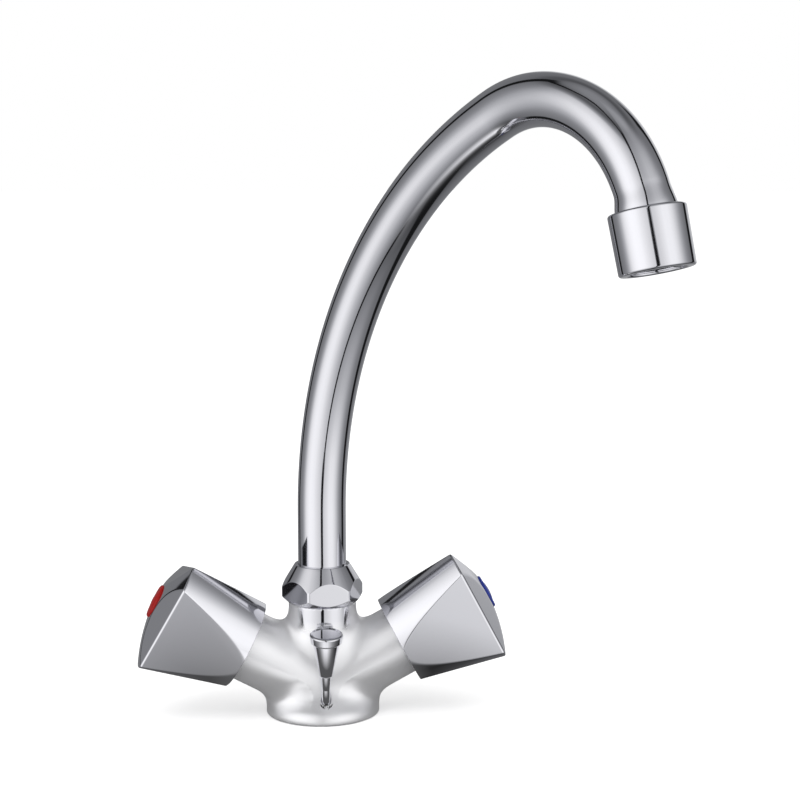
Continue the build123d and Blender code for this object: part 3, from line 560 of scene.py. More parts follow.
def add_ring(
    mesh: bmesh.types.BMesh, points: Sequence[Vector], ring: Sequence[bmesh.types.BMVert] = ()
) -> list[bmesh.types.BMVert]:
    """Adds a closed ring of vertices, joined by faces to the ring before it.

    Args:
        mesh: Mesh that takes the ring.
        points: Places round the ring.
        ring: Vertices of the ring before it in the same order, or none for a first ring.

    Returns:
        The new ring's vertices in order.
    """
    if not ring:
        first = [mesh.verts.new(point) for point in points]
        for pair in zip(first, first[1:] + first[:1]):
            mesh.edges.new(pair)
        return first
    edges = [mesh.edges.get(pair) for pair in zip(ring, [*ring[1:], ring[0]])]
    made = bmesh.ops.extrude_edge_only(mesh, edges=edges)["geom"]
    fresh = {vert for vert in made if isinstance(vert, bmesh.types.BMVert)}
    grown = []
    for vert, point in zip(ring, points):
        twin = next(edge.other_vert(vert) for edge in vert.link_edges if edge.other_vert(vert) in fresh)
        twin.co = point
        grown.append(twin)
    return grown


def written(name: str, mesh: bmesh.types.BMesh) -> bpy.types.Mesh:
    """Writes a mesh out and frees it.

    Args:
        name: Name of the mesh.
        mesh: Mesh to write.

    Returns:
        The mesh as an object takes it.
    """
    data = bpy.data.meshes.new(name)
    mesh.to_mesh(data)
    mesh.free()
    return data


@dataclass
class Piece:
    """One finished piece, from its mesh in its own axes to its place on a body."""

    name: str
    body: str
    finish: str
    stands_for: tuple[str, ...]
    slot: str = "polished_chrome"
    crease_degrees: float = 32.0
    even_shading: bool = True

    def place(self, mesh: bmesh.types.BMesh, where: Matrix) -> None:
        """Puts a mesh in the scene, in metres.

        Args:
            mesh: Mesh in the piece's own axes.
            where: Placement of these axes.
        """
        mesh.transform(Matrix.Scale(MM, 4) @ where)
        self.dress(written(self.name, mesh))

    def dress(self, data: bpy.types.Mesh) -> None:
        """Shades a mesh, gives it its finish and hangs it on its body.

        Args:
            data: Mesh in metres, in the tap's axes.
        """
        piece = bpy.data.objects.new(self.name, data)
        bpy.context.scene.collection.objects.link(piece)
        data.materials.append(material_for(self.finish))
        if self.even_shading:
            data.polygons.foreach_set("use_smooth", [True] * len(data.polygons))
            data.set_sharp_from_angle(angle=math.radians(self.crease_degrees))
            weights = piece.modifiers.new("even_shading", "WEIGHTED_NORMAL")
            weights.keep_sharp = True
            weights.weight = LARGE_FACE_WEIGHT
        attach(piece, self.body)
        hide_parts(*self.stands_for)
        LOG.info("%s: %d faces on %s", self.name, len(data.polygons), self.body)


# Castings


def melted(first: np.ndarray, second: np.ndarray, span: Any) -> np.ndarray:
    """Joins two surfaces and fills the groove between them.

    Args:
        first: Distance to the first surface.
        second: Distance to the second surface.
        span: How far from the groove the filling starts, the same everywhere or for each point.

    Returns:
        Distance to the joined surface.
    """
    near = np.maximum(span - np.abs(first - second), 0)
    return np.minimum(first, second) - near**2 / (4 * span)


def trimmed(first: np.ndarray, second: np.ndarray, span: float) -> np.ndarray:
    """Keeps what is inside two surfaces and rounds the edge between them, from a span away."""
    return -melted(-first, -second, span)


class Casting:
    """Casting with the bores, seats and machined ends of its solid, whose outside is drawn again.

    The outside is where a signed distance is zero, so that its faces melt into each other the way they do
    on a casting. Points are rows of x, y and z in the casting's own axes, distances negative inside.
    """

    grain: float

    def distance(self, points: np.ndarray) -> np.ndarray:
        """Signed distance of each point to the outside."""
        raise NotImplementedError

    def on_skin(self, points: np.ndarray) -> np.ndarray:
        """Tells the cast skin from the bores and the machined ends, True on the skin."""
        raise NotImplementedError

    def slope(self, points: np.ndarray) -> np.ndarray:
        """Way in which the distance grows at each point.

        Args:
            points: One row for each point.

        Returns:
            One row for each point.
        """
        ways = np.empty_like(points)
        for axis in range(3):
            shift = np.zeros(3)
            shift[axis] = PROBE / 2
            ways[:, axis] = (self.distance(points + shift) - self.distance(points - shift)) / PROBE
        return ways

    def settle(self, data: bpy.types.Mesh) -> np.ndarray:
        """Moves the skin's vertices onto the drawn outside.

        Args:
            data: Mesh in the casting's own axes.

        Returns:
            Shading direction of each vertex, zero off the skin.
        """
        spots = np.empty(len(data.vertices) * 3)
        data.vertices.foreach_get("co", spots)
        spots = spots.reshape(-1, 3)
        skin = self.on_skin(spots)
        moved = spots[skin]
        for _ in range(SETTLE_ROUNDS):
            ways = self.slope(moved)
            steep = np.maximum((ways**2).sum(1), FLATTEST)
            moved -= ways * (self.distance(moved) / steep)[:, None]
        spots[skin] = moved
        data.vertices.foreach_set("co", spots.ravel())
        ways = self.slope(moved)
        shading = np.zeros_like(spots)
        shading[skin] = ways / np.linalg.norm(ways, axis=1)[:, None]
        return shading

    def redraw(self, node: str, where: Matrix) -> bpy.types.Mesh:
        """Even copy of a node's mesh with its outside settled.

        Args:
            node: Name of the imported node.
            where: Placement of the casting's own axes.

        Returns:
            Mesh in metres, in the tap's axes.
        """
        mesh = bmesh.new()
        mesh.from_mesh(bpy.data.objects[node].data)
        mesh.transform(where.inverted() @ Matrix.Scale(1 / MM, 4))
        bmesh.ops.remove_doubles(mesh, verts=mesh.verts, dist=NODE_WELD)
        casting = bpy.data.objects.new("casting", written("casting", mesh))
        bpy.context.scene.collection.objects.link(casting)
        skin = casting.modifiers.new("skin", "REMESH")
        skin.mode = "VOXEL"
        skin.voxel_size = self.grain
        data = bpy.data.meshes.new_from_object(casting.evaluated_get(bpy.context.evaluated_depsgraph_get()))
        bpy.data.objects.remove(casting)
        shading = self.settle(data) @ np.array(where.to_3x3()).T
        data.transform(Matrix.Scale(MM, 4) @ where)
        data.polygons.foreach_set("use_smooth", [True] * len(data.polygons))
        data.normals_split_custom_set_from_vertices(shading.tolist())
        return data


@dataclass
class CastBody(Casting):
    """Base, waist, neck and the two raised arms, cast in one piece and buffed until they flow together."""

    base_radius: float = 26.0
    edge_height: float = 6.0
    foot: float = 0.9
    crest: float = 5.5
    neck_radius: float = 15.5
    neck_top: float = 51.2
    sweep: float = 10.0
    shoulder_fall: float = 22.0
    arm_radius: float = 16.3
    arm_elevation: float = 28.0
    arm_crossing: float = 13.6
    arm_end: float = 44.6
    arm_root: float = 4.0
    blend: float = 8.5
    crotch: float = 20.0
    least_filling: float = 0.002
    grain: float = 0.7
    skin_depth: float = 3.0
    floor_depth: float = 1.4
    floor_edge: float = 0.05
    groove_top: float = 4.0
    rod_clearance: float = 2.45

    def arm_matrix(self, arm: Arm, along: float) -> Matrix:
        """Placement on an arm, its local z along the arm's axis outwards.

        Args:
            arm: Which arm.
            along: Distance out from where the arm's axis meets the tap's axis.

        Returns:
            Placement as a matrix.
        """
        rise = math.radians(self.arm_elevation)
        way = Vector((arm.value * math.cos(rise), 0, math.sin(rise)))
        return axes_matrix(Vector((0, 0, self.arm_crossing)) + way * along, Vector((0, -1, 0)), way)

    def turned_distance(self, radius: np.ndarray, height: np.ndarray) -> np.ndarray:
        """Signed distance to the base disc and the neck, swept into one another.

        Args:
            radius: Distance of each point from the tap's axis.
            height: Height of each point.

        Returns:
            One distance for each point.
        """
        fall = math.radians(self.shoulder_fall)
        top = (height - self.edge_height) * math.cos(fall) - (self.base_radius - radius) * math.sin(fall)
        shoulder = melted(top, radius - self.neck_radius, self.sweep)
        disc = trimmed(shoulder, radius - self.base_radius, self.crest)
        return trimmed(disc, -height, self.foot)

    def arm_distance(self, points: np.ndarray, arm: Arm) -> tuple[np.ndarray, np.ndarray]:
        """Signed distance to one arm, and the way out of it.

        Args:
            points: One row for each point.
            arm: Which arm.

        Returns:
            One distance and one column of x, y and z for each point.
        """
        x, y, z = points.T
        rise = math.radians(self.arm_elevation)
        lift = z - self.arm_crossing
        along = arm.value * x * math.cos(rise) + lift * math.sin(rise)
        side = -arm.value * x * math.sin(rise) + lift * math.cos(rise)
        across = np.maximum(np.hypot(side, y), TINY)
        way = np.stack((-arm.value * math.sin(rise) * side, y, math.cos(rise) * side)) / across
        return np.maximum(across - self.arm_radius, -along - self.arm_root), way

    def filling(self, facing: np.ndarray) -> np.ndarray:
        """Share of the full filling where two surfaces face ways with this cosine between them."""
        return np.maximum(1 - np.clip(facing, 0, 1) ** 2, self.least_filling)

    def distance(self, points: np.ndarray) -> np.ndarray:
        """Signed distance to the turned shapes and the arms, melted into one another.

        Args:
            points: One row for each point.

        Returns:
            One distance for each point.
        """
        x, y, z = points.T
        reach = np.maximum(np.hypot(x, y), TINY)
        turned = self.turned_distance(reach, z)
        outward = (self.turned_distance(reach + PROBE, z) - turned) / PROBE
        upward = (self.turned_distance(reach, z + PROBE) - turned) / PROBE
        (hot, hot_way), (cold, cold_way) = (self.arm_distance(points, arm) for arm in Arm)
        span = self.crotch * self.filling((hot_way * cold_way).sum(0))
        share = np.clip(0.5 + (cold - hot) / (2 * span), 0, 1)
        way = hot_way * share + cold_way * (1 - share)
        facing = outward * (x * way[0] + y * way[1]) / reach + upward * way[2]
        return melted(turned, melted(hot, cold, span), self.blend * self.filling(facing))

    def on_skin(self, points: np.ndarray) -> np.ndarray:
        """Tells the cast skin from the bores and the machined ends.

        Args:
            points: One row for each point.

        Returns:
            True for each point of the skin.
        """
        x, y, z = points.T
        rise = math.radians(self.arm_elevation)
        along = np.abs(x) * math.cos(rise) + (z - self.arm_crossing) * math.sin(rise)
        rod = LiftRod()
        lean = math.radians(rod.lean)
        drift = (y + rod.offset) * math.cos(lean) + z * math.sin(lean)
        depth = np.where(z < self.groove_top, self.floor_depth, self.skin_depth)
        skin = (self.distance(points) > -depth) & (z > self.floor_edge) & (z < self.neck_top)
        skin &= (z > self.floor_depth) | (np.hypot(x, y) > self.base_radius - self.floor_depth)
        return skin & (along < self.arm_end) & (np.hypot(x, drift) > self.rod_clearance)

    def build(self) -> None:
        """Makes the casting."""
        casting = self.redraw("body", Matrix())
        Piece("cast_body", "base", "cast", ("body",), even_shading=False).dress(casting)


@dataclass
class ThreeCornerHandle(Casting):
    """Quarter-turn handle: a flared cone cut by three flats, with a crowned end cut by three bevels."""

    arm: Arm
    turn: float
    start: float = 40.2
    skirt: float = 20.85
    corner: float = 30.3
    length: float = 39.6
    rise: float = 6.6
    flat: float = 20.55
    end_bevel: float = 27.0
    end_rounding: float = 0.75
    ridge_rounding: float = 0.3
    side_rounding: float = 0.3
    rim_rounding: float = 0.2
    skin_depth: float = 1.0
    grain: float = 0.5
    seat: float = 43.44
    seat_radius: float = 7.3
    seat_bore: float = 5.3
    button_radius: float = 7.25
    button_rim: float = 46.04
    button_edge: float = 0.02
    button_rounding: float = 0.3
    button_crown: float = 1.5
    crown_inset: float = 0.35
    crown_start: float = 0.12
    peg_radius: float = 4.5
    peg_length: float = 0.6

    @property
    def body(self) -> str:
        """Name of the body that the handle turns with."""
        return f"{self.arm.word}_control"

    def distance(self, points: np.ndarray) -> np.ndarray:
        """Signed distance to the outside, the skirt's edge being at zero height.

        Args:
            points: One row for each point.

        Returns:
            One distance for each point.
        """
        x, y, z = points.T
        reach = np.hypot(x, y)
        flare = math.atan2(self.corner - self.skirt, self.length)
        cone = (reach - self.skirt) * math.cos(flare) - z * math.sin(flare)
        turns = [math.tau * number / 3 for number in range(3)]
        flats = np.maximum.reduce([x * math.cos(turn) + y * math.sin(turn) for turn in turns]) - self.flat
        sphere = (self.corner**2 + self.rise**2) / (2 * self.rise)
        domed = np.hypot(reach, z - (self.length + self.rise - sphere)) - sphere
        tilt = math.radians(self.end_bevel)
        bevels = (z - self.length) * math.cos(tilt) + flats * math.sin(tilt)
        walls = trimmed(cone, flats, self.side_rounding)
        end = trimmed(domed, bevels, self.ridge_rounding)
        whole = trimmed(trimmed(walls, end, self.end_rounding), -z, self.rim_rounding)
        pocket = np.maximum(reach - self.seat_radius, self.seat - z)
        return trimmed(whole, -pocket, self.rim_rounding)

    def on_skin(self, points: np.ndarray) -> np.ndarray:
        """Tells the cast skin from the sockets inside, True on the skin."""
        reach = np.hypot(points[:, 0], points[:, 1])
        return (self.distance(points) > -self.skin_depth) & (reach > self.seat_bore)

    def build_shell(self) -> None:
        """Makes the handle's casting."""
        where = CastBody().arm_matrix(self.arm, self.start) @ Matrix.Rotation(math.radians(self.turn), 4, "Z")
        node = f"{self.arm.word}_handle"
        piece = Piece(f"{node}_shell", self.body, "handle", (node,), even_shading=False)
        piece.dress(self.redraw(node, where))

    def build_button(self) -> None:
        """Makes the coloured index button in the handle's end."""
        radius, rim = self.button_radius, self.button_rim
        corners = [
            (self.peg_radius, self.seat - self.peg_length, 0),
            (self.peg_radius, self.seat, 0),
            (radius, self.seat, 0),
            (radius, rim + self.button_edge, self.button_rounding),
        ]
        crown = (radius - self.crown_inset, rim + self.crown_start)
        outline = crowned(corners, crown, self.button_crown - self.crown_start, steps=6)
        colour = {Arm.HOT: "red", Arm.COLD: "blue"}[self.arm]
        node = f"{self.arm.word}_index_button"
        piece = Piece(f"{self.arm.word}_index_dome", self.body, colour, (node,), f"{colour}_plastic")
        piece.place(lathe(outline, segments=128), CastBody().arm_matrix(self.arm, self.start))

    def build(self) -> None:
        """Makes the handle and its button."""
        self.build_shell()
        self.build_button()


# Turned and bent pieces


@dataclass
class LiftRod:
    """Thin rod with an upside-down cone for the fingers, leaning forward out of the base."""

    radius: float = 1.9
    lean: float = 8.6
    offset: float = 17.1
    bottom: float = 0.6
    insertion: float = 12.0
    chamfer: float = 0.2
    ground_length: float = 15.0
    ground_depth: float = 0.06
    knob_start: float = 23.0
    knob_length: float = 19.6
    bore_gap: float = 0.05
    tip_radius: float = 2.2
    tip_rounding: float = 0.15
    shoulder_radius: float = 6.35
    shoulder_height: float = 1.0
    shoulder_rounding: float = 0.7
    head_radius: float = 7.1
    head_height: float = 3.4
    head_rounding: float = 0.9
    rim_rounding: float = 0.55
    crown_inset: float = 0.6
    crown_start: float = 0.03
    crown_rise: float = 0.2

    def matrix(self, along: float) -> Matrix:
        """Placement on the rod, its local z up the rod.

        Args:
            along: Distance up the rod from the deck.

        Returns:
            Placement as a matrix.
        """
        lean = math.radians(self.lean)
        way = Vector((0, -math.sin(lean), math.cos(lean)))
        return axes_matrix(Vector((0, -self.offset, 0)) + way * along, Vector((1, 0, 0)), way)

    def build_stem(self) -> None:
        """Makes the rod, ground slimmer where it slides in its bush."""
        top = self.knob_start + self.insertion - self.bottom
        ground = self.radius - self.ground_depth
        corners = [
            (0, 0, 0),
            (ground, 0, self.chamfer),
            (ground, self.ground_length, 0),
            (self.radius, self.ground_length + self.chamfer, 0),
            (self.radius, top, self.chamfer),
            (0, top, 0),
        ]
        piece = Piece("rod", "waste_lift", "turned", ("lift_rod",))
        piece.place(lathe(rounded(corners, steps=3), segments=48), self.matrix(self.bottom))

    def build_knob(self) -> None:
        """Makes the knob."""
        bore = self.radius + self.bore_gap
        head_bottom = self.knob_length - self.head_height
        corners = [
            (bore, self.insertion, 0),
            (bore, 0, 0),
            (self.tip_radius, 0, self.tip_rounding),
            (self.shoulder_radius, head_bottom - self.shoulder_height, self.shoulder_rounding),
            (self.head_radius, head_bottom, self.head_rounding),
            (self.head_radius, self.knob_length, self.rim_rounding),
        ]
        crown = (self.head_radius - self.crown_inset, self.knob_length + self.crown_start)
        outline = crowned(corners, crown, self.crown_rise - self.crown_start, steps=7)
        piece = Piece("rod_knob", "waste_lift", "turned", ("lift_knob",))
        piece.place(lathe(outline, segments=120), self.matrix(self.knob_start))

    def build(self) -> None:
        """Makes the rod and its knob."""
        self.build_stem()
        self.build_knob()


@dataclass
class SpoutNut:
    """Turned nut with six small flats that end in arches on its cone."""

    bottom: float = 52.0
    turn: float = 6.4
    height: float = 17.6
    flat: float = 16.5
    foot_radius: float = 15.6
    band_radius: float = 18.75
    chamfer_top: float = 3.0
    band_top: float = 7.5
    top_radius: float = 12.6
    bore_radius: float = 14.05
    bore_top: float = 9.6
    relief_radius: float = 13.5
    relief_top: float = 12.6
    lip_radius: float = 11.15
    flat_steps: int = 18
    land_steps: int = 3
    edge_rounding: float = 0.22
    edge_angle: float = 14.0
    edge_radius: float = 12.3

    def column(self, offset: float) -> tuple[float, float, float]:
        """Side of the nut at an angle from a flat's middle.

        Args:
            offset: The angle, in radians.

        Returns:
            Radius of the side, and the heights that it spans.
        """
        cut = self.flat / math.cos(offset)
        if cut >= self.band_radius:
            return self.band_radius, self.chamfer_top, self.band_top
        low = self.chamfer_top * (cut - self.foot_radius) / (self.band_radius - self.foot_radius)
        slope = (self.height - self.band_top) / (self.band_radius - self.top_radius)
        return cut, low, self.band_top + (self.band_radius - cut) * slope

    def rows(self, columns: np.ndarray) -> list[Any]:
        """Rings of the nut from its bore, down, round the outside and back to the bore.

        Args:
            columns: Radius and heights of the side at each angle.

        Returns:
            Radius and height of each ring, the same all round or one pair for each angle.
        """
        foot, top = np.array((self.foot_radius, 0.0)), np.array((self.top_radius, self.height))
        lower, upper = columns[:, [0, 1]], columns[:, [0, 2]]
        rows = [(self.bore_radius, self.bore_top), (self.bore_radius, 0.0), foot]
        for start, end, steps in ((foot, lower, 2), (lower, upper, 4), (upper, top, 5)):
            rows += [start + (end - start) * (step / steps) for step in range(1, steps + 1)]
        rows += [(self.lip_radius, self.height), (self.lip_radius, self.relief_top)]
        return rows + [(self.relief_radius, self.relief_top), (self.relief_radius, self.bore_top)]

    def build(self) -> None:
        """Makes the nut."""
        half = math.acos(self.flat / self.band_radius)
        land = math.tau / 6 - 2 * half
        offsets = [half * (2 * step / self.flat_steps - 1) for step in range(self.flat_steps + 1)]
        offsets += [half + land * step / self.land_steps for step in range(1, self.land_steps)]
        angles = [sector * math.tau / 6 + offset for sector in range(6) for offset in offsets]
        columns = np.array([self.column(min(offset, half)) for offset in offsets] * 6)
        mesh = bmesh.new()
        ring: list[bmesh.types.BMVert] = []
        for row in self.rows(columns):
            pairs = zip(np.broadcast_to(row, (len(angles), 2)), angles)
            points = [Vector((r * math.cos(turn), r * math.sin(turn), z)) for (r, z), turn in pairs]
            ring = add_ring(mesh, points, ring)
        bmesh.ops.bridge_loops(mesh, edges=[edge for edge in mesh.edges if len(edge.link_faces) == 1])
        bmesh.ops.recalc_face_normals(mesh, faces=mesh.faces)
        angle = math.radians(self.edge_angle)
        sharp = [edge for edge in mesh.edges if edge.calc_face_angle(0.0) > angle]
        edges = [edge for edge in sharp if min(v.co.xy.length for v in edge.verts) > self.edge_radius]
        bmesh.ops.bevel(
            mesh,
            geom=edges,
            offset=self.edge_rounding,
            offset_type="OFFSET",
            segments=3,
            profile=0.5,
            affect="EDGES",
            material=-1,
            clamp_overlap=True,
        )
        turned = Matrix.Rotation(math.radians(self.turn - 90), 4, "Z")
        piece = Piece("spout_nut_polished", "base", "turned", ("spout_nut",), crease_degrees=20.0)
        piece.place(mesh, Matrix.Translation((0, 0, self.bottom)) @ turned)


@dataclass
class Spout:
    """Bent tube with its flared end and the collar that holds the aerator."""

    swing: float = -53.6
    radius: float = 11.0
    wall: float = 1.0
    bottom: float = 63.3
    straight_top: float = 94.2
    wide_radius: float = 200.5
    wide_angle: float = 63.8
    tight_radius: float = 55.9
    tight_angle: float = 101.8
    flare_radius: float = 12.2
    flare_length: float = 8.6
    flare_steps: int = 8
    flare_end: float = 1.45
    collar_radius: float = 14.9
    collar_end_radius: float = 14.4
    collar_length: float = 22.9
    socket_gap: float = 0.05
    socket_depth: float = 4.05
    water_radius: float = 8.5
    thread_radius: float = 11.85
    thread_top: float = 9.0
    socket_rounding: float = 0.15
    top_rounding: float = 0.6
    end_rounding: float = 0.4
    thread_rounding: float = 0.3

    @property
    def reach(self) -> Vector:
        """Level direction that the spout points in."""
        turn = math.radians(self.swing)
        return Vector((math.cos(turn), math.sin(turn), 0))

    @property
    def flare_angle(self) -> float:
        """How far the centre line turns along the flare."""
        return math.degrees(self.flare_length / self.tight_radius)

    @property
    def across(self) -> Vector:
        """Level direction square to the spout's upright plane."""
        return UP.cross(self.reach)

    def along(self, heading: float) -> Vector:
        """Direction in the spout's plane at a heading above the level."""
        return self.reach * math.cos(math.radians(heading)) + UP * math.sin(math.radians(heading))

    def inward(self, heading: float) -> Vector:
        """Direction from the tube to the centre of its bend, at a heading above the level."""
        return self.reach * math.sin(math.radians(heading)) - UP * math.cos(math.radians(heading))

    def build(self) -> None:
        """Makes the tube and its collar."""
        mesh = bmesh.new()
        start = Matrix.Translation((0, 0, self.bottom))
        bmesh.ops.create_circle(mesh, cap_ends=False, segments=96, radius=self.radius, matrix=start)
        made = bmesh.ops.extrude_edge_only(mesh, edges=list(mesh.edges))["geom"]
        lift = UP * (self.straight_top - self.bottom)
        bmesh.ops.translate(mesh, verts=[g for g in made if isinstance(g, bmesh.types.BMVert)], vec=lift)
        place, heading = UP * self.straight_top, 90.0
        for radius, angle, steps in (
            (self.wide_radius, self.wide_angle, 72),
            (self.tight_radius, self.tight_angle - self.flare_angle, 84),
        ):
            centre = place + self.inward(heading) * radius
            made = bmesh.ops.spin(
                mesh,
                geom=[g for g in made if not isinstance(g, bmesh.types.BMFace)],
                cent=centre,
                axis=self.across,
                angle=math.radians(angle),
                steps=steps,
            )["geom_last"]
            heading -= angle
            place = centre - self.inward(heading) * radius
        mouth = place + self.along(heading - self.flare_angle / 2) * self.flare_length
        outlet = axes_matrix(mouth, -self.across, self.along(heading - self.flare_angle))
        self.add_flare(mesh, [g for g in made if isinstance(g, bmesh.types.BMVert)], place, mouth, heading)
        bmesh.ops.recalc_face_normals(mesh, faces=mesh.faces)
        bmesh.ops.solidify(mesh, geom=list(mesh.faces), thickness=self.wall)
        bmesh.ops.recalc_face_normals(mesh, faces=mesh.faces)
        Piece("swan_neck_tube", "spout", "tube", ("spout_tube",)).place(mesh, Matrix())
        self.build_collar(outlet)

    def add_flare(
        self,
        mesh: bmesh.types.BMesh,
        ring: list[bmesh.types.BMVert],
        place: Vector,
        mouth: Vector,
        heading: float,
    ) -> None:
        """Widens the tube along its flare and carries it on into the collar.

        Args:
            mesh: The tube's mesh.
            ring: Vertices of its last ring.
            place: Centre of that ring.
            mouth: Centre of the collar's top edge.
            heading: Heading of the tube at the ring.
        """
        inward = self.inward(heading)
        spokes = {v: math.atan2((v.co - place).dot(self.across), (v.co - place).dot(inward)) for v in ring}
        ring = sorted(ring, key=spokes.get)
        angles = [spokes[vert] for vert in ring]
        for share in [step / self.flare_steps for step in range(1, self.flare_steps + 1)] + [self.flare_end]:
            bend = min(share, 1.0)
            out = self.inward(heading - self.flare_angle * bend)
            middle = place.lerp(mouth, share)
            ease = bend * bend * (3 - 2 * bend)
            radius = self.radius + (self.flare_radius - self.radius) * ease
            spread = [out * math.cos(angle) + self.across * math.sin(angle) for angle in angles]
            ring = add_ring(mesh, [middle + way * radius for way in spread], ring)

    def build_collar(self, outlet: Matrix) -> None:
        """Makes the collar.

        Args:
            outlet: Placement of the collar's top edge, its local z along the water.
        """
        socket = self.flare_radius + self.socket_gap
        corners = [
            (socket, self.socket_depth, 0),
            (socket, 0, self.socket_rounding),
            (self.collar_radius, 0, self.top_rounding),
            (self.collar_end_radius, self.collar_length, self.end_rounding),
            (self.thread_radius, self.collar_length, self.thread_rounding),
            (self.thread_radius, self.thread_top, 0),
            (self.water_radius, self.thread_top, 0),
            (self.water_radius, self.socket_depth, 0),
        ]
        collar = lathe(rounded(corners, steps=7), closed=True)
        Piece("aerator_collar", "spout", "turned", ("outlet_collar",)).place(collar, outlet)


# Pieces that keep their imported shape


INNER_FINISHES: dict[str, str] = {
    "base_gasket": "rubber",
    "rod_bush": "acetal",
    "lower_slip_washer": "acetal",
    "upper_slip_ring": "acetal",
    "spout_foot": "brass",
    "lower_foot_ring": "rubber",
    "upper_foot_ring": "rubber",
    "aerator_gasket": "rubber",
    "aerator_housing": "turned",
    "aerator_insert": "grey",
    "aerator_screen": "steel",
    "disc_seal": "rubber",
    "fixed_disc": "ceramic",
    "turning_disc": "ceramic",
    "headwork_body": "brass",
    "headwork_washer": "fibre",
    "spindle": "brass",
    "spindle_ring": "rubber",
    "spindle_clip": "steel",
    "handle_insert": "acetal",
    "handle_screw": "steel",
}


def dress_inner_pieces() -> None:
    """Gives every carried-over node the material of the real piece."""
    for name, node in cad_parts.items():
        plain = name.removeprefix("hot_").removeprefix("cold_")
        if plain in INNER_FINISHES and node.material_slots:
            node.material_slots[0].link = "OBJECT"
            node.material_slots[0].material = material_for(INNER_FINISHES[plain])
            LOG.info("%s dressed as %s", name, INNER_FINISHES[plain])


# Studio, whose own lengths are in metres


@dataclass(frozen=True)
class TentSide:
    """One glowing side of the light tent.

    Each pair holds an angle and a brightness: to the right of the lens in sides, above the level in heights.
    """

    sides: Pairs
    heights: Pairs

    def glow(self, graph: Graph, azimuth: Socket, height: Socket, under: Socket) -> Socket:
        """Adds the side's glow to a level.

        Args:
            graph: Node tree to add to.
            azimuth: Angle to the right of the lens.
            height: Angle above the level.
            under: Level that the glow is added to.

        Returns:
            The output socket.
        """
        side, rise = graph.curve(azimuth, self.sides, ROUND), graph.curve(height, self.heights, UPRIGHT)
        return graph.calc("MULTIPLY_ADD", side, rise, under)


@dataclass(frozen=True)
class TentSeam:
    """Black seam between two cloths, upright or level, along part of its angle.

    Each pair in place holds the angle along the seam and the angle across it where the seam lies. A ramp
    holds levels, so these angles are brought into its range and back.
    """

    place: Pairs
    width: float
    start: float
    end: float
    upright: bool = True
    soft_edge: float = 0.25
    fade: float = 6.0
    ramp_range: float = 400.0

    def clear_of(self, graph: Graph, azimuth: Socket, height: Socket) -> Socket:
        """Zero on the seam and one away from it.

        Args:
            graph: Node tree to add to.
            azimuth: Angle to the right of the lens.
            height: Angle above the level.

        Returns:
            The output socket.
        """
        runs, crosses, span = (height, azimuth, UPRIGHT) if self.upright else (azimuth, height, ROUND)
        stops = [(along, (place + self.ramp_range / 2) / self.ramp_range) for along, place in self.place]
        level = graph.curve(runs, stops, span)
        centre = graph.calc("MULTIPLY_ADD", level, self.ramp_range, -self.ramp_range / 2)
        gap = graph.calc("ABSOLUTE", graph.calc("SUBTRACT", crosses, centre))
        if self.upright:
            gap = graph.calc("MULTIPLY", gap, graph.calc("COSINE", graph.calc("RADIANS", height)))
        ends = self.width * (1 - self.soft_edge), self.width * (1 + self.soft_edge)
        middle, half = (self.start + self.end) / 2, (self.end - self.start) / 2
        past = graph.calc("ABSOLUTE", graph.calc("SUBTRACT", runs, middle))
        beyond = graph.span(past, half, half + self.fade, eased=True)
        return graph.calc("MAXIMUM", graph.span(gap, *ends, eased=True), beyond)


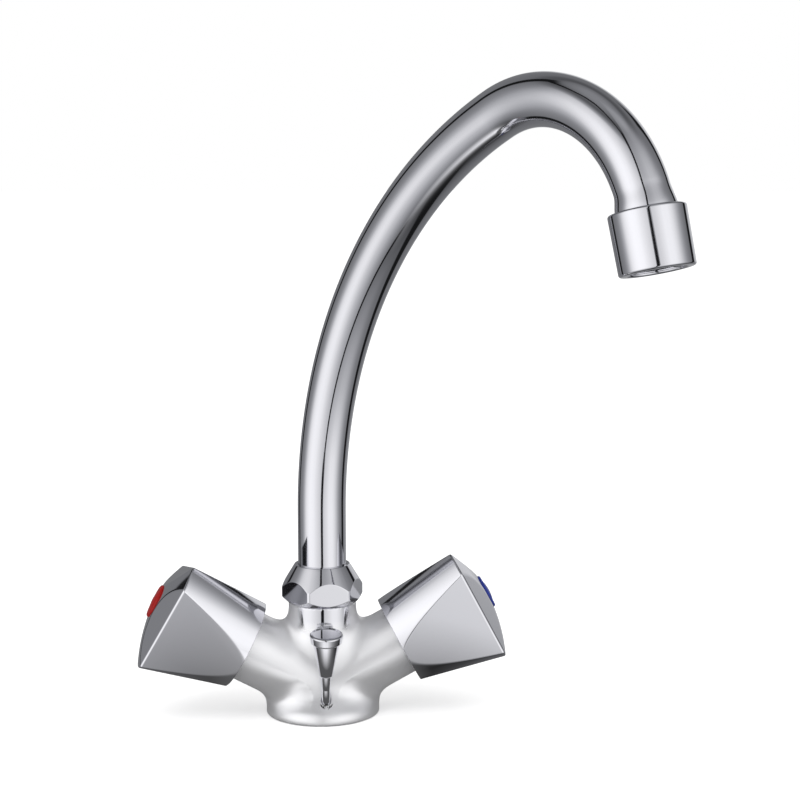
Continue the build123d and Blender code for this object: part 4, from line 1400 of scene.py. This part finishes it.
@dataclass(frozen=True)
class TentCloth:
    """Cloth of the light tent, in axes whose x points at the photograph's lens and whose z is up.

    Each direction has the rest level of its height, panels add their glow and seams black it out.
    """

    gain: float = 1.43
    least: float = 0.012
    shade_colour: str = "#F8FAFF"
    glow_colour: str = "#FFFFFF"
    panels: tuple[TentSide, ...] = (
        TentSide(
            (
                (-128, 0.0), (-113, 0.04), (-104, 0.08), (-98, 0.14), (-90, 0.28), (-83, 0.48),
                (-76, 0.64), (-68, 0.74), (-60, 0.8), (-53, 0.82), (-38, 0.78), (-23, 0.64), (-8, 0.5),
                (2.9, 0.46), (3, 0.0),
            ),
            (
                (-84, 0.06), (-68, 0.16), (-53, 0.3), (-38, 0.5), (-23, 0.82), (-8, 0.96), (7, 1.0),
                (22, 0.93), (30, 0.84), (37, 0.72), (43, 0.64), (48, 0.52), (51, 0.27), (54, 0.16),
                (60, 0.03), (66, 0.0),
            ),
        ),
        TentSide(
            (
                (3, 0.0), (3.1, 0.42), (15, 0.5), (22, 0.57), (37, 0.71), (52, 0.7), (60, 0.63), (67, 0.54),
                (75, 0.4), (82, 0.27), (90, 0.15), (97, 0.08), (108, 0.02), (116, 0.0),
            ),
            (
                (-80, 0.02), (-68, 0.05), (-53, 0.2), (-38, 0.44), (-23, 0.86), (-8, 1.0), (20, 1.0),
                (28, 0.78), (37, 0.49), (52, 0.34), (67, 0.25), (82, 0.08), (90, 0.0),
            ),
        ),
        TentSide(
            ((129, 0.0), (134, 0.24), (152, 0.34), (172, 0.34), (180, 0.1)),
            ((-20, 0.0), (-10, 0.4), (2, 1.0), (22, 1.0), (32, 0.0)),
        ),
    )
    rest: Pairs = (
        (-90, 0.02), (-75, 0.05), (-60, 0.09), (-45, 0.13), (-30, 0.15), (0, 0.14), (30, 0.15), (50, 0.13),
        (58, 0.08), (64, 0.07), (70, 0.14), (80, 0.2), (90, 0.21),
    )
    seams: tuple[TentSeam, ...] = (
        TentSeam(
            ((-90, 4.5), (-40, 4), (-15, 3), (0, 1.5), (15, 0), (45, -2), (58, -4.5), (90, -5)), 2.8, -70, 57
        ),
        TentSeam(((-90, 4.5), (-40, 4), (-15, 3), (0, 1.5), (15, 0), (90, 0)), 5.0, -18, 14),
        TentSeam(((-90, -129), (90, -129)), 5.0, -75, 62),
        TentSeam(
            ((-90, 119), (-8, 119), (2, 121), (10, 124), (22, 130), (36, 134), (90, 134)), 7.5, -80, 40
        ),
        TentSeam(
            (
                (-180, 60), (-129, 60), (-115, 61.5), (-90, 66), (-69, 70.5), (-46, 71.5), (-30, 68.5),
                (-15, 63), (-5, 57), (180, 57),
            ),
            2.2, -129, -5, upright=False,
        ),
    )

    def build(self) -> bpy.types.Material:
        """Makes the material.

        Returns:
            Material whose glow follows the direction from the tent's middle.
        """
        material, graph = new_material("light_tent_cloth")
        graph.tree.nodes.remove(graph.surface)
        way = graph.add("VectorMath", {0: graph.place()}, operation="NORMALIZE").outputs[0]
        azimuth = graph.azimuth(way)
        height = graph.calc("DEGREES", graph.calc("ARCSINE", graph.axes(way)[2]))
        level = graph.curve(height, self.rest, UPRIGHT)
        for panel in self.panels:
            level = panel.glow(graph, azimuth, height, level)
        for seam in self.seams:
            level = graph.calc("MULTIPLY", level, seam.clear_of(graph, azimuth, height))
        level = graph.calc("MULTIPLY_ADD", level, self.gain, self.least)
        tint = graph.tint(level, self.shade_colour, self.glow_colour)
        graph.show(graph.add("Emission", {"Color": tint, "Strength": level}))
        return material


@dataclass(frozen=True)
class FloorCard:
    """Round card under the tap, white in front of it, dark at its sides and see-through towards its rim.

    The level is dim up to the inner radius and that of the sides from the middle radius on. Radii are in
    millimetres.
    """

    sides: Pairs = (
        (-180, 0.07), (-98, 0.04), (-70, 0.06), (-53, 0.12), (-38, 0.24), (-23, 0.6), (-10, 1.0), (9, 1.0),
        (22, 0.6), (37, 0.24), (52, 0.1), (67, 0.04), (82, 0.02), (127, 0.02), (150, 0.03), (180, 0.07),
    )
    gain: float = 1.35
    dim: float = 0.12
    inner: float = 43.0
    middle: float = 55.0
    fade: float = 50.0
    radius: float = 132.0

    def build(self) -> bpy.types.Material:
        """Makes the material.

        Returns:
            Material whose glow follows the angle round the tap and fades out towards the rim.
        """
        material, graph = new_material("floor_card")
        graph.tree.nodes.remove(graph.surface)
        place = graph.place()
        reach = graph.add("VectorMath", {0: place}, operation="LENGTH").outputs["Value"]
        outer = graph.calc("MULTIPLY", graph.curve(graph.azimuth(place), self.sides, ROUND), self.gain)
        level = graph.span(reach, self.inner * MM, self.middle * MM, self.dim, outer)
        glow = graph.add("Emission", {"Strength": level})
        clear = graph.add("BsdfTransparent")
        gone = graph.span(reach, self.fade * MM, self.radius * MM)
        graph.show(graph.add("MixShader", {0: gone, 1: glow.outputs[0], 2: clear.outputs[0]}))
        return material


@dataclass(frozen=True)
class Softbox:
    """Large soft lamp that no reflection shows."""

    name: str
    place: tuple[float, float, float]
    power: float
    size: float
    aim: tuple[float, float, float] = (0, 0, 0.1)

    def build(self) -> None:
        """Makes the lamp."""
        data = bpy.data.lights.new(self.name, "AREA")
        data.energy, data.size = self.power, self.size
        lamp = bpy.data.objects.new(self.name, data)
        lamp.location = self.place
        lamp.rotation_mode = "QUATERNION"
        lamp.rotation_quaternion = (Vector(self.aim) - Vector(self.place)).to_track_quat("-Z", "Y")
        lamp.visible_glossy = False
        bpy.context.scene.collection.objects.link(lamp)


@dataclass
class Studio:
    """White sweep, soft lamps, a camera, and the tent that the chrome mirrors."""

    camera_place: tuple[float, float, float] = (-0.06365, -0.89793, 0.2759)
    heading: float = 83.01
    pitch: float = 7.55
    lens: float = 90.09
    sensor: float = 36.0
    shift: tuple[float, float] = (-0.0283, -0.0317)
    clip: tuple[float, float] = (0.05, 20.0)
    world_light: float = 0.95
    sweep_radius: float = 6.0
    sweep_colour: str = "#F2F2F2"
    sweep_roughness: float = 0.9
    sweep_glow: float = 0.3
    tent_radius: float = 3.0
    tent_height: float = 0.12
    card_height: float = -0.0002
    lamps: tuple[Softbox, ...] = (
        Softbox("left_softbox", (-0.9, -0.9, 1.3), 6.0, 1.0),
        Softbox("right_softbox", (1.1, -0.7, 1.1), 4.0, 0.9),
    )

    def build_camera(self) -> None:
        """Sets the camera at the photograph's viewing angle."""
        data = bpy.data.cameras.new("photo_camera")
        data.sensor_width, data.lens = self.sensor, self.lens
        data.shift_x, data.shift_y = self.shift
        data.clip_start, data.clip_end = self.clip
        camera = bpy.data.objects.new("photo_camera", data)
        turn, dip = math.radians(self.heading), math.radians(self.pitch)
        way = Vector((math.cos(turn) * math.cos(dip), math.sin(turn) * math.cos(dip), -math.sin(dip)))
        camera.location = self.camera_place
        camera.rotation_mode = "QUATERNION"
        camera.rotation_quaternion = way.to_track_quat("-Z", "Y")
        bpy.context.scene.collection.objects.link(camera)
        bpy.context.scene.camera = camera

    def build_world(self) -> None:
        """White surroundings, a little dimmer as a light than as a background."""
        world = bpy.data.worlds.new("white_studio")
        bpy.context.scene.world = world
        world.use_nodes = True
        graph = Graph(world.node_tree)
        level = graph.span(graph.seen(), 0.0, 1.0, self.world_light, 1.0)
        graph.fill(graph.tree.nodes["Background"], {"Color": (1, 1, 1, 1), "Strength": level})

    def stand(
        self,
        name: str,
        mesh: bmesh.types.BMesh,
        material: bpy.types.Material,
        unseen_by: Sequence[str],
        height: float = 0.0,
        turn: float = 0.0,
    ) -> None:
        """Adds a piece of the stage.

        Args:
            name: Name of the object.
            mesh: Its mesh, which is freed.
            material: Its material.
            unseen_by: Kinds of ray that don't see it.
            height: Height of its origin.
            turn: Angle by which it is turned.
        """
        data = written(name, mesh)
        data.materials.append(material)
        piece = bpy.data.objects.new(name, data)
        piece.location = (0, 0, height)
        piece.rotation_euler = (0, 0, math.radians(turn))
        for ray in unseen_by:
            setattr(piece, f"visible_{ray}", False)
        bpy.context.scene.collection.objects.link(piece)

    def build_floor(self) -> None:
        """Plain white sweep that keeps a faint shadow and that the chrome doesn't mirror."""
        material, graph = new_material("white_paper_sweep")
        paper = {
            "Base Color": linear(self.sweep_colour),
            "Roughness": self.sweep_roughness,
            "Specular IOR Level": 0.0,
        }
        graph.fill(graph.surface, paper)
        plain = graph.surface.outputs[0]
        glow = graph.add("Emission", {"Strength": self.sweep_glow})
        both = graph.add("AddShader", {0: plain, 1: glow.outputs[0]})
        graph.show(graph.add("MixShader", {0: graph.seen(), 1: plain, 2: both.outputs[0]}))
        mesh = bmesh.new()
        bmesh.ops.create_circle(mesh, cap_ends=True, segments=96, radius=self.sweep_radius)
        self.stand("white_sweep", mesh, material, ("glossy",))

    def build_tent(self) -> None:
        """Light tent over a floor card, both seen in reflections only."""
        unseen_by = ("camera", "diffuse", "transmission", "shadow")
        turn = self.heading - 180.0
        mesh = bmesh.new()
        bmesh.ops.create_icosphere(mesh, subdivisions=5, radius=self.tent_radius)
        bmesh.ops.reverse_faces(mesh, faces=mesh.faces)
        self.stand("light_tent", mesh, TentCloth().build(), unseen_by, self.tent_height, turn)
        card = FloorCard()
        mesh = bmesh.new()
        bmesh.ops.create_circle(mesh, cap_ends=True, segments=96, radius=card.radius * MM)
        self.stand("floor_card", mesh, card.build(), unseen_by, self.card_height, turn)

    def build(self) -> None:
        """Makes the whole studio."""
        bpy.context.scene.view_settings.view_transform = "Standard"
        self.build_camera()
        self.build_world()
        self.build_floor()
        self.build_tent()
        for lamp in self.lamps:
            lamp.build()


def main() -> None:
    """Builds the tap piece by piece, then the studio round it."""
    logging.basicConfig(level=logging.INFO, format="%(name)s %(message)s")
    dress_inner_pieces()
    CastBody().build()
    LiftRod().build()
    SpoutNut().build()
    Spout().build()
    ThreeCornerHandle(Arm.HOT, -17.0).build()
    ThreeCornerHandle(Arm.COLD, 8.0).build()
    Studio().build()


if __name__ == "__main__":
    main()
